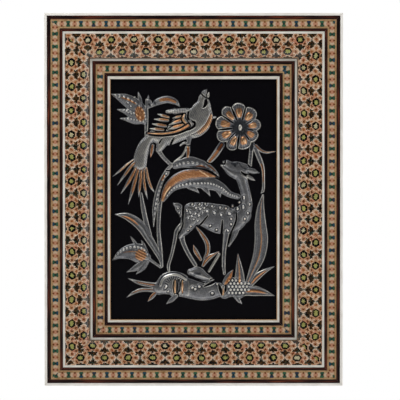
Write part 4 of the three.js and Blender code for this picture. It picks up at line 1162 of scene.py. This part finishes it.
def marquetry_rods(tree, along_rail, across, base, rise):
    """Middles of the small triangular rods of marquetry, in rods along and rows across. base
    is a rod's width along the band and rise its height across it, in mm."""
    u = add(tree, "ShaderNodeMath", (along_rail, base), operation="DIVIDE")
    v = add(tree, "ShaderNodeMath", (across, rise), operation="DIVIDE")
    skew = add(tree, "ShaderNodeMath", (v, -0.5, u), operation="MULTIPLY_ADD")
    whole_a = add(tree, "ShaderNodeMath", (skew,), operation="FLOOR")
    whole_c = add(tree, "ShaderNodeMath", (v,), operation="FLOOR")
    rest_a = add(tree, "ShaderNodeMath", (skew, whole_a), operation="SUBTRACT")
    rest_c = add(tree, "ShaderNodeMath", (v, whole_c), operation="SUBTRACT")
    both = add(tree, "ShaderNodeMath", (rest_a, rest_c), operation="ADD")
    flipped = add(tree, "ShaderNodeMath", (both,), operation="FLOOR")
    third = add(tree, "ShaderNodeMath", (flipped, 1 / 3, 1 / 3), operation="MULTIPLY_ADD")
    a = add(tree, "ShaderNodeMath", (whole_a, third), operation="ADD")
    c = add(tree, "ShaderNodeMath", (whole_c, third), operation="ADD")
    along_rods = add(tree, "ShaderNodeMath", (c, 0.5, a), operation="MULTIPLY_ADD")
    return along_rods, c


def folded(tree, value, repeat):
    """How many repeats lie before a value, and its distance from the nearest one's middle."""
    count = add(tree, "ShaderNodeMath", (value, repeat), operation="DIVIDE")
    count = add(tree, "ShaderNodeMath", (count,), operation="ROUND")
    rest = add(tree, "ShaderNodeMath", (count, -repeat, value), operation="MULTIPLY_ADD")
    return count, rest


def away_from(tree, u, v, centre_u, centre_v):
    """Rods from a centre, counted so that equal counts make a hexagon pointing along the band."""
    du = add(tree, "ShaderNodeMath", (u, centre_u), operation="SUBTRACT")
    dv = add(tree, "ShaderNodeMath", (v, centre_v), operation="SUBTRACT")
    du = add(tree, "ShaderNodeMath", (du,), operation="ABSOLUTE")
    dv = add(tree, "ShaderNodeMath", (dv,), operation="ABSOLUTE")
    slant = add(tree, "ShaderNodeMath", (dv, 0.5, du), operation="MULTIPLY_ADD")
    return add(tree, "ShaderNodeMath", (slant, dv), operation="MAXIMUM")


def under(tree, value, limit):
    return add(tree, "ShaderNodeMath", (value, limit), operation="LESS_THAN")


def nearest(tree, *values):
    least = values[0]
    for value in values[1:]:
        least = add(tree, "ShaderNodeMath", (least, value), operation="MINIMUM")
    return least


def blend(tree, factor, a, b):
    return add(tree, "ShaderNodeMix", {0: factor, 6: a, 7: b}, data_type="RGBA").node.outputs[2]


def random_of(tree, *values):
    """A random number for each set of values."""
    vector = add(tree, "ShaderNodeCombineXYZ", values)
    return add(tree, "ShaderNodeTexWhiteNoise", {"Vector": vector}, noise_dimensions="3D")


# Flowers of the wide marquetry: each rail's spacing and the place of one flower, in mm
FLOWER_PITCH = {"top": 18.95, "left": 19.0, "bottom": 19.4, "right": 18.8}
FLOWER_PLACE = {"top": 9.6, "left": -4.2, "bottom": 5.9, "right": 2.8}
FLOWER_FIRST_ROW = {"top": 4.9, "left": 5.4, "bottom": 6.0, "right": 5.2}
FLOWER_RODS = 16
FLOWER_ROWS = 10
FLOWER_ROW_GAP = 9.8
ROUND_RADIUS = 8.5
ROUND_ANGLE = math.radians(65)
INNER_BORDER = 1.6


def strip_start(name):
    """Distance of a strip from the outer edge, in mm."""
    low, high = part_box("right_" + name)
    return HALF_WIDTH - high.x / MM


def strip_width(name):
    low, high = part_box("right_" + name)
    return (high.x - low.x) / MM


def wide_marquetry_material(settings):
    """Marquetry of triangular rods of wood, dyed bone and brass, glued into six-petalled
    flowers, sliced thin, laid flush over the moulding and lacquered."""
    material, tree = new_material("flower_marquetry_lacquered")
    rail = RailPlace(tree)
    start = strip_start("wide_marquetry")
    round_at = start + strip_width("wide_marquetry") - ROUND_RADIUS * math.sin(ROUND_ANGLE)
    past = add(tree, "ShaderNodeMath", (rail.inwards, round_at), operation="SUBTRACT")
    sine = add(tree, "ShaderNodeMath", (past, ROUND_RADIUS), operation="DIVIDE", use_clamp=True)
    turn = add(tree, "ShaderNodeMath", (sine,), operation="ARCSINE")
    flat = add(tree, "ShaderNodeMath", (rail.inwards, round_at), operation="MINIMUM")
    across = add(tree, "ShaderNodeMath", (turn, ROUND_RADIUS, flat), operation="MULTIPLY_ADD")
    full = round_at + ROUND_RADIUS * ROUND_ANGLE
    at_border = add(tree, "ShaderNodeMath", (across, full - INNER_BORDER), operation="GREATER_THAN")
    first_row = add(tree, "ShaderNodeMath", (rail.by_side(**FLOWER_FIRST_ROW), start), operation="ADD")
    across = add(tree, "ShaderNodeMath", (across, first_row), operation="SUBTRACT")
    sway = noise(tree, rail.place, 22, 1)
    across = add(tree, "ShaderNodeMath", (sway, 1.6, across), operation="MULTIPLY_ADD")
    across = add(tree, "ShaderNodeMath", (across, 0.8), operation="SUBTRACT")
    drift = noise(tree, rail.place, 31, 1)
    run = add(tree, "ShaderNodeMath", (rail.lengthwise, rail.by_side(**FLOWER_PLACE)), operation="SUBTRACT")
    run = add(tree, "ShaderNodeMath", (drift, 3.0, run), operation="MULTIPLY_ADD")
    run = add(tree, "ShaderNodeMath", (run, 1.5), operation="SUBTRACT")
    base = add(tree, "ShaderNodeMath", (rail.by_side(**FLOWER_PITCH), FLOWER_RODS), operation="DIVIDE")
    u, v = marquetry_rods(tree, run, across, base, FLOWER_ROW_GAP / FLOWER_ROWS)
    row, in_row = folded(tree, v, FLOWER_ROWS)
    shifted = add(tree, "ShaderNodeMath", (row, -FLOWER_RODS / 2, u), operation="MULTIPLY_ADD")
    count, in_flower = folded(tree, shifted, FLOWER_RODS)
    side = add(tree, "ShaderNodeMath", (in_flower,), operation="ABSOLUTE")
    up = add(tree, "ShaderNodeMath", (in_row,), operation="ABSOLUTE")

    each_rod = random_of(tree, u, v, rail.upright)
    each_flower = random_of(tree, row, count, rail.is_top)
    turn_u = add(tree, "ShaderNodeMath", (in_flower, 4.0), operation="DIVIDE")
    turn_u = add(tree, "ShaderNodeMath", (turn_u,), operation="ROUND")
    turn_v = add(tree, "ShaderNodeMath", (in_row, 2.6), operation="DIVIDE")
    turn_v = add(tree, "ShaderNodeMath", (turn_v,), operation="ROUND")
    each_petal = random_of(tree, turn_u, turn_v, each_flower)
    tone = noise(tree, rail.place, 4, 1)

    warp = noise(tree, rail.place, 3.2, 1)
    side = add(tree, "ShaderNodeMath", (warp, 1.8, side), operation="MULTIPLY_ADD")
    side = add(tree, "ShaderNodeMath", (side, 0.9), operation="SUBTRACT")
    side_petal = away_from(tree, side, up, 5.3, 0)
    high_petal = away_from(tree, side, up, 2.9, 3.4)
    narrowed = add(tree, "ShaderNodeMath", (side, 0.84), operation="MULTIPLY")
    heart = away_from(tree, narrowed, up, 0, 0)
    petal = nearest(tree, side_petal, high_petal)
    rough = add(tree, "ShaderNodeMath", (each_rod, 0.5, petal), operation="MULTIPLY_ADD")

    dark = ramp(
        tree, each_rod,
        [(0, settings.ebony), (0.3, linear(0x21160C)), (0.55, settings.olive), (0.8, linear(0x54330F)),
         (0.94, settings.green)],
        "CONSTANT",
    )
    join = away_from(tree, side, up, 8, 0)
    tint = blend(tree, under(tree, join, 1.6), dark, rgba(linear(0x66665A)))
    rim = ramp(tree, each_rod, [(0, linear(0xC8A080)), (0.5, linear(0xE6D6C4)), (1, linear(0xD2B498))])
    tint = blend(tree, under(tree, rough, 2.75), tint, rim)
    dye = add(tree, "ShaderNodeMath", (each_petal, 0.5, tone), operation="MULTIPLY_ADD")
    flesh = ramp(tree, dye, [(0.45, settings.petal_pink), (0.7, linear(0xB88A64)), (0.95, settings.petal)])
    tint = blend(tree, under(tree, petal, 1.9), tint, flesh)
    tint = blend(tree, under(tree, heart, 3.5), tint, flesh)
    dots = ramp(tree, each_petal, [(0, settings.dot), (0.5, settings.dot_red), (1, linear(0x9A5A28))])
    tint = blend(tree, under(tree, petal, 0.95), tint, dots)
    tint = blend(tree, under(tree, heart, 2.75), tint, rgba(settings.ebony))
    hearts = ramp(tree, each_flower, [(0, settings.heart), (0.6, linear(0x9C9A58)), (1, linear(0xC9BE9E))])
    tint = blend(tree, under(tree, heart, 1.4), tint, hearts)
    border = blend(tree, each_rod, rgba(linear(0x523C28)), rgba(linear(0x70583E)))
    tint = blend(tree, at_border, tint, border)
    shade = add(tree, "ShaderNodeMapRange", (each_rod, 0.0, 1.0, 0.8, 1.08))
    tint = add(tree, "ShaderNodeVectorMath", (tint, shade), operation="MULTIPLY")
    bump = add(tree, "ShaderNodeBump", {"Strength": 0.12, "Distance": 0.05 * MM, "Height": each_rod})
    surface(
        tree, Base_Color=tint, Roughness=0.45, Normal=bump, Specular_IOR_Level=0.1,
        Coat_Weight=0.9, Coat_Roughness=0.12,
    )
    return material


# Bobbins of the border marquetry: spacing and, for each rail, the place of one, in mm
BOBBIN_PITCH = 10.2
BOBBIN_PLACE = {"top": 1.0, "left": 0.6, "bottom": 1.4, "right": 0.0}
INNER_BOBBIN_PLACE = {"top": 1.8, "left": -3.3, "bottom": 3.7, "right": 0.4}
BOBBIN_RODS = 12
BOBBIN_ROWS = 9


def narrow_marquetry_material(settings):
    """Border marquetry of small rods: green and blue bobbins and pairs of brown dots on tan
    wood, between two pale lines."""
    material, tree = new_material("border_marquetry_lacquered")
    rail = RailPlace(tree)
    width = strip_width("outer_marquetry")
    outer = strip_start("outer_marquetry") + width / 2
    inner = strip_start("inner_marquetry") + strip_width("inner_marquetry") / 2
    is_inner = add(tree, "ShaderNodeMath", (rail.inwards, (outer + inner) / 2), operation="GREATER_THAN")
    middle = add(tree, "ShaderNodeMix", {0: is_inner, 2: outer, 3: inner}, data_type="FLOAT")
    across = add(tree, "ShaderNodeMath", (rail.inwards, middle), operation="SUBTRACT")
    first = add(
        tree, "ShaderNodeMix",
        {0: is_inner, 2: rail.by_side(**BOBBIN_PLACE), 3: rail.by_side(**INNER_BOBBIN_PLACE)},
        data_type="FLOAT",
    )
    run = add(tree, "ShaderNodeMath", (rail.lengthwise, first), operation="SUBTRACT")
    drift = noise(tree, rail.place, 27, 1)
    run = add(tree, "ShaderNodeMath", (drift, 1.6, run), operation="MULTIPLY_ADD")
    run = add(tree, "ShaderNodeMath", (run, 0.8), operation="SUBTRACT")
    u, v = marquetry_rods(tree, run, across, BOBBIN_PITCH / BOBBIN_RODS, width / BOBBIN_ROWS)
    count, in_bobbin = folded(tree, u, BOBBIN_RODS)
    side = add(tree, "ShaderNodeMath", (in_bobbin,), operation="ABSOLUTE")
    out = add(tree, "ShaderNodeMath", (v,), operation="ABSOLUTE")
    half = add(tree, "ShaderNodeMath", (v,), operation="SIGN")
    each_rod = random_of(tree, u, v, rail.upright)
    each_bobbin = random_of(tree, count, is_inner, rail.upright)
    each_half = random_of(tree, count, half, each_bobbin)
    tone = noise(tree, rail.place, 4, 1)
    dye = add(tree, "ShaderNodeMath", (each_rod, 0.3, tone), operation="MULTIPLY_ADD")
    tint = ramp(tree, dye, [(0.4, linear(0x8E6C4A)), (0.62, settings.tan), (0.85, linear(0xB4946E))])
    pale = away_from(tree, side, out, 3.4, 0)
    tint = blend(tree, under(tree, pale, 1.8), tint, rgba(linear(0xC4AE94)))
    blush = away_from(tree, side, out, 6, 0)
    tint = blend(tree, under(tree, blush, 2.6), tint, rgba(linear(0xB88468)))
    dots = ramp(tree, each_half, [(0, linear(0x64381E)), (0.5, linear(0x7E4428)), (1, linear(0x866032))])
    dot = away_from(tree, side, out, 6, 2.1)
    tint = blend(tree, under(tree, dot, 1.2), tint, dots)
    waist = add(tree, "ShaderNodeMath", (out, 0.42, 0.85), operation="MULTIPLY_ADD")
    in_waist = add(tree, "ShaderNodeMath", (side, waist), operation="LESS_THAN")
    in_height = add(tree, "ShaderNodeMath", (out, 3.1), operation="LESS_THAN")
    bobbin = add(tree, "ShaderNodeMath", (in_waist, in_height), operation="MULTIPLY")
    greens = ramp(
        tree, each_half,
        [(0, linear(0x28503F)), (0.3, linear(0x1F4454)), (0.6, linear(0x335E46)), (0.85, linear(0x2A3648))],
        "CONSTANT",
    )
    tint = blend(tree, bobbin, tint, greens)
    core = away_from(tree, side, out, 0, 0)
    tint = blend(tree, under(tree, core, 0.9), tint, rgba(linear(0x22302E)))
    bump = add(tree, "ShaderNodeBump", {"Strength": 0.12, "Distance": 0.05 * MM, "Height": each_rod})
    surface(
        tree, Base_Color=tint, Roughness=0.45, Normal=bump, Specular_IOR_Level=0.1,
        Coat_Weight=0.6, Coat_Roughness=0.12,
    )
    return material


RAW_EDGE = 0.55


def bone_material(settings):
    """Camel bone sawn in strips and polished: creamy white, with faint grey pores along the
    strip and a soft gloss. The outer edging is drawn whiter, a painted highlight. Raw wood
    shows at the inner edge of the lip, but for the top rail's."""
    material, tree = new_material("camel_bone_polished")
    rail = RailPlace(tree)
    pores = noise(tree, rail.grain, 0.9, 3, (0.08, 1, 1))
    clouds = noise(tree, rail.place, 12, 2)
    mixed = add(tree, "ShaderNodeMath", (pores, 0.6, 0), operation="MULTIPLY_ADD")
    mixed = add(tree, "ShaderNodeMath", (clouds, 0.4, mixed), operation="MULTIPLY_ADD")
    tint = ramp(tree, mixed, [(0.3, linear(0xC9C2B6)), (0.5, settings.bone), (0.7, linear(0xF4F1EA))])
    edging_end = strip_start("outer_marquetry") - 1
    is_edging = add(tree, "ShaderNodeMath", (rail.inwards, edging_end), operation="LESS_THAN")
    # Painted highlight: the outer edging drawn whiter than the other bone
    edging_painted_highlight = ramp(tree, mixed, [(0.3, linear(0xE9E4DC)), (0.6, linear(0xFFFCF6))])
    tint = blend(tree, is_edging, tint, edging_painted_highlight)
    raw_from = HALF_WIDTH - OPENING_HALF_WIDTH - RAW_EDGE
    is_raw = add(tree, "ShaderNodeMath", (rail.inwards, raw_from), operation="GREATER_THAN")
    is_raw = add(tree, "ShaderNodeMath", (is_raw, rail.by_side(0.0, 1.0, 1.0, 1.0)), operation="MULTIPLY")
    tint = blend(tree, is_raw, tint, rgba(settings.bone_tan))
    bump = add(tree, "ShaderNodeBump", {"Strength": 0.2, "Distance": 0.05 * MM, "Height": pores})
    surface(tree, Base_Color=tint, Roughness=0.4, Normal=bump, Specular_IOR_Level=0.4)
    return material


def hardboard_material():
    """Hardboard, pressed wood fibre: brown, matt, with short darker and paler fibres."""
    material, tree = new_material("hardboard_pressed")
    place = position_mm(tree)
    fibres = noise(tree, place, 0.8, 4, (0.35, 1, 1))
    blotches = noise(tree, place, 18, 3)
    mixed = add(tree, "ShaderNodeMath", (fibres, 0.6, 0), operation="MULTIPLY_ADD")
    mixed = add(tree, "ShaderNodeMath", (blotches, 0.4, mixed), operation="MULTIPLY_ADD")
    tint = ramp(tree, mixed, [(0.3, linear(0x4E3826)), (0.5, linear(0x6B4F38)), (0.7, linear(0x8A6A4C))])
    bump = add(tree, "ShaderNodeBump", {"Strength": 0.5, "Distance": 0.15 * MM, "Height": fibres})
    surface(tree, Base_Color=tint, Roughness=0.85, Normal=bump)
    return material


def steel_material():
    """Steel wire and strip, bright zinc plated: pale grey, mottled, slightly dull."""
    material, tree = new_material("steel_zinc_plated")
    place = position_mm(tree)
    spangle = noise(tree, place, 1.2, 3)
    tint = ramp(tree, spangle, [(0.35, linear(0x8E8F92)), (0.65, linear(0xC4C5C6))])
    rough = add(tree, "ShaderNodeMapRange", (spangle, 0.3, 0.7, 0.3, 0.48))
    surface(tree, Base_Color=tint, Metallic=1.0, Roughness=rough)
    return material


def soften(node, width_mm, segments=2):
    """Rounds a CAD node's sharp edges by a little, after joining its loose triangles."""
    weld = node.modifiers.new("weld", "WELD")
    weld.merge_threshold = 0.01 * MM
    bevel = node.modifiers.new("soft_edges", "BEVEL")
    bevel.width = width_mm * MM
    bevel.segments = segments
    bevel.limit_method = "ANGLE"
    bevel.angle_limit = math.radians(40)


class PLAQUE_OT_relief(bpy.types.Operator):
    """Models the engraved plate and finishes its metal and paint"""

    bl_idname = "plaque.relief"
    bl_label = "Engraved plate"

    def execute(self, context):
        settings = plate_settings()
        piece = bpy.data.objects.new("engraved_plate_relief", engraved_plate(settings))
        context.scene.collection.objects.link(piece)
        piece.data.materials.append(plate_material(settings))
        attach(piece, "root")
        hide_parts(PLATE)
        return {"FINISHED"}


class PLAQUE_OT_rails(bpy.types.Operator):
    """Finishes the stained rails"""

    bl_idname = "plaque.rails"
    bl_label = "Rails"

    def execute(self, context):
        finish_sections(["rail"], wood_material(frame_settings()))
        for side in SIDES:
            soften(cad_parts[side + "_rail"], 0.25)
        return {"FINISHED"}


class PLAQUE_OT_marquetry(bpy.types.Operator):
    """Finishes the wide and the narrow marquetry"""

    bl_idname = "plaque.marquetry"
    bl_label = "Marquetry"

    def execute(self, context):
        settings = frame_settings()
        finish_sections(["wide_marquetry"], wide_marquetry_material(settings))
        narrow = narrow_marquetry_material(settings)
        finish_sections(["outer_marquetry", "inner_marquetry"], narrow)
        return {"FINISHED"}


class PLAQUE_OT_bone(bpy.types.Operator):
    """Finishes the bone edging, lines and lip"""

    bl_idname = "plaque.bone"
    bl_label = "Bone lines"

    def execute(self, context):
        lines = ["bone_edging", "outer_bone_line", "inner_bone_line", "bone_lip"]
        finish_sections(lines, bone_material(frame_settings()))
        for side in SIDES:
            soften(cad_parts[side + "_bone_edging"], 0.3)
        return {"FINISHED"}


class PLAQUE_OT_backing(bpy.types.Operator):
    """Finishes the backing board, its brads and the hanger"""

    bl_idname = "plaque.backing"
    bl_label = "Backing"

    def execute(self, context):
        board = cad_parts["backing_board"]
        board.data.materials.clear()
        board.data.materials.append(hardboard_material())
        steel = steel_material()
        for name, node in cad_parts.items():
            if name.startswith("backing_brad") or "hanger" in name:
                node.data.materials.clear()
                node.data.materials.append(steel)
        return {"FINISHED"}


# The picture's frame: 400 pixels square, with the plaque's middle a little off its centre
PICTURE_PIXELS = 400
FRAME_CENTRE_PIXEL = (193.6, 199.65)
PIXELS_PER_MM = 1.244
SENSOR = 36.0


def floor_material(settings):
    """Matt white studio card, very slightly mottled."""
    material, tree = new_material("studio_card_matt")
    place = tree.nodes.new("ShaderNodeTexCoord").outputs["Object"]
    cloud = add(tree, "ShaderNodeTexNoise", {"Vector": place, "Scale": 3.0})
    tint = ramp(tree, cloud, [(0.3, tuple(c * 0.97 for c in settings.floor)), (0.7, settings.floor)])
    surface(tree, Base_Color=tint, Roughness=0.9)
    return material


def area_light(name, place, target, size, watts):
    light = bpy.data.lights.new(name, "AREA")
    light.shape = "RECTANGLE"
    light.size, light.size_y = size
    light.energy = watts
    item = bpy.data.objects.new(name, light)
    item.location = place
    item.rotation_euler = (Vector(target) - Vector(place)).to_track_quat("-Z", "Y").to_euler()
    item.visible_camera = False
    bpy.context.scene.collection.objects.link(item)


# Brightness of the room by direction: pairs of how far a direction points away from the
# camera's side, from 0 to 1, and strength
ROOM = ((0, 0.03), (0.15, 0.04), (0.3, 0.5), (0.42, 1.1), (0.5, 1.3), (0.75, 1.6), (1, 1.6))


def studio_world():
    """A white room with a dark camera side, so that the metal has something dark to reflect.
    The camera itself sees plain white."""
    world = bpy.data.worlds.new("studio")
    world.use_nodes = True
    tree = world.node_tree
    tree.nodes.clear()
    direction = tree.nodes.new("ShaderNodeTexCoord").outputs["Generated"]
    split = tree.nodes.new("ShaderNodeSeparateXYZ")
    tree.links.new(direction, split.inputs[0])
    away = add(tree, "ShaderNodeMapRange", (split.outputs[1], -1.0, 1.0, 0.0, 1.0))
    room = curve(tree, away, [(place, strength / 2) for place, strength in ROOM])
    room = add(tree, "ShaderNodeMath", (room, 2.0), operation="MULTIPLY")
    seen = tree.nodes.new("ShaderNodeLightPath").outputs["Is Camera Ray"]
    strength = add(tree, "ShaderNodeMix", {0: seen, 2: room, 3: 1.0}, data_type="FLOAT")
    background = add(tree, "ShaderNodeBackground", ((1, 1, 1, 1), strength))
    add(tree, "ShaderNodeOutputWorld", (background,))
    bpy.context.scene.world = world


class PLAQUE_OT_stage(bpy.types.Operator):
    """Adds the floor, the lights, the room and the camera"""

    bl_idname = "plaque.stage"
    bl_label = "Studio"

    def execute(self, context):
        settings = stage_settings()
        middle = Vector((0, FRAME_LOW.y, MIDDLE_HEIGHT)) * MM
        bm = bmesh.new()
        bmesh.ops.create_circle(bm, cap_ends=True, segments=96, radius=4)
        bmesh.ops.translate(bm, vec=(0, 0, middle.z - 0.75), verts=bm.verts)
        mesh = bpy.data.meshes.new("floor")
        bm.to_mesh(mesh)
        bm.free()
        floor = bpy.data.objects.new("floor", mesh)
        context.scene.collection.objects.link(floor)
        mesh.materials.append(floor_material(settings))
        studio_world()
        area_light("key_light", (-0.35, -0.42, 0.62), middle, (0.5, 0.3), 3.6)
        area_light("fill_light", (1.4, -0.8, 0.1), middle, (0.8, 1.0), 4)
        camera = bpy.data.cameras.new("camera")
        camera.sensor_width = SENSOR
        seen = PICTURE_PIXELS / PIXELS_PER_MM * MM
        camera.lens = SENSOR * settings.distance / seen
        camera.clip_end = 100
        view = bpy.data.objects.new("camera", camera)
        off_x, off_y = (pixel - PICTURE_PIXELS / 2 for pixel in FRAME_CENTRE_PIXEL)
        aim = middle + Vector((-off_x, 0, off_y)) * MM / PIXELS_PER_MM
        back = Vector((0, -math.cos(settings.elevation), math.sin(settings.elevation)))
        view.location = aim + back * settings.distance
        view.rotation_euler = (-back).to_track_quat("-Z", "Y").to_euler()
        context.scene.collection.objects.link(view)
        context.scene.camera = view
        context.scene.view_settings.view_transform = "Standard"
        return {"FINISHED"}


OPERATORS = (
    PLAQUE_OT_relief, PLAQUE_OT_rails, PLAQUE_OT_marquetry, PLAQUE_OT_bone, PLAQUE_OT_backing, PLAQUE_OT_stage,
)


class PLAQUE_PT_panel(bpy.types.Panel):
    bl_idname = "PLAQUE_PT_panel"
    bl_label = "Wall plaque"
    bl_space_type = "VIEW_3D"
    bl_region_type = "UI"
    bl_category = "Plaque"

    def draw(self, context):
        for group in (plate_settings(), frame_settings(), stage_settings()):
            for name in group.__annotations__:
                self.layout.prop(group, name)
        for operator in OPERATORS:
            self.layout.operator(operator.bl_idname)


CLASSES = (PlateSettings, FrameSettings, StageSettings, *OPERATORS, PLAQUE_PT_panel)
GROUPS = {"plaque_plate": PlateSettings, "plaque_frame": FrameSettings, "plaque_stage": StageSettings}


def register():
    for item in CLASSES:
        bpy.utils.register_class(item)
    for name, group in GROUPS.items():
        setattr(bpy.types.Scene, name, bpy.props.PointerProperty(type=group))


def unregister():
    for name in GROUPS:
        delattr(bpy.types.Scene, name)
    for item in reversed(CLASSES):
        bpy.utils.unregister_class(item)


def main():
    register()
    bpy.ops.plaque.relief()
    bpy.ops.plaque.rails()
    bpy.ops.plaque.marquetry()
    bpy.ops.plaque.bone()
    bpy.ops.plaque.backing()
    bpy.ops.plaque.stage()


if __name__ == "__main__":
    main()
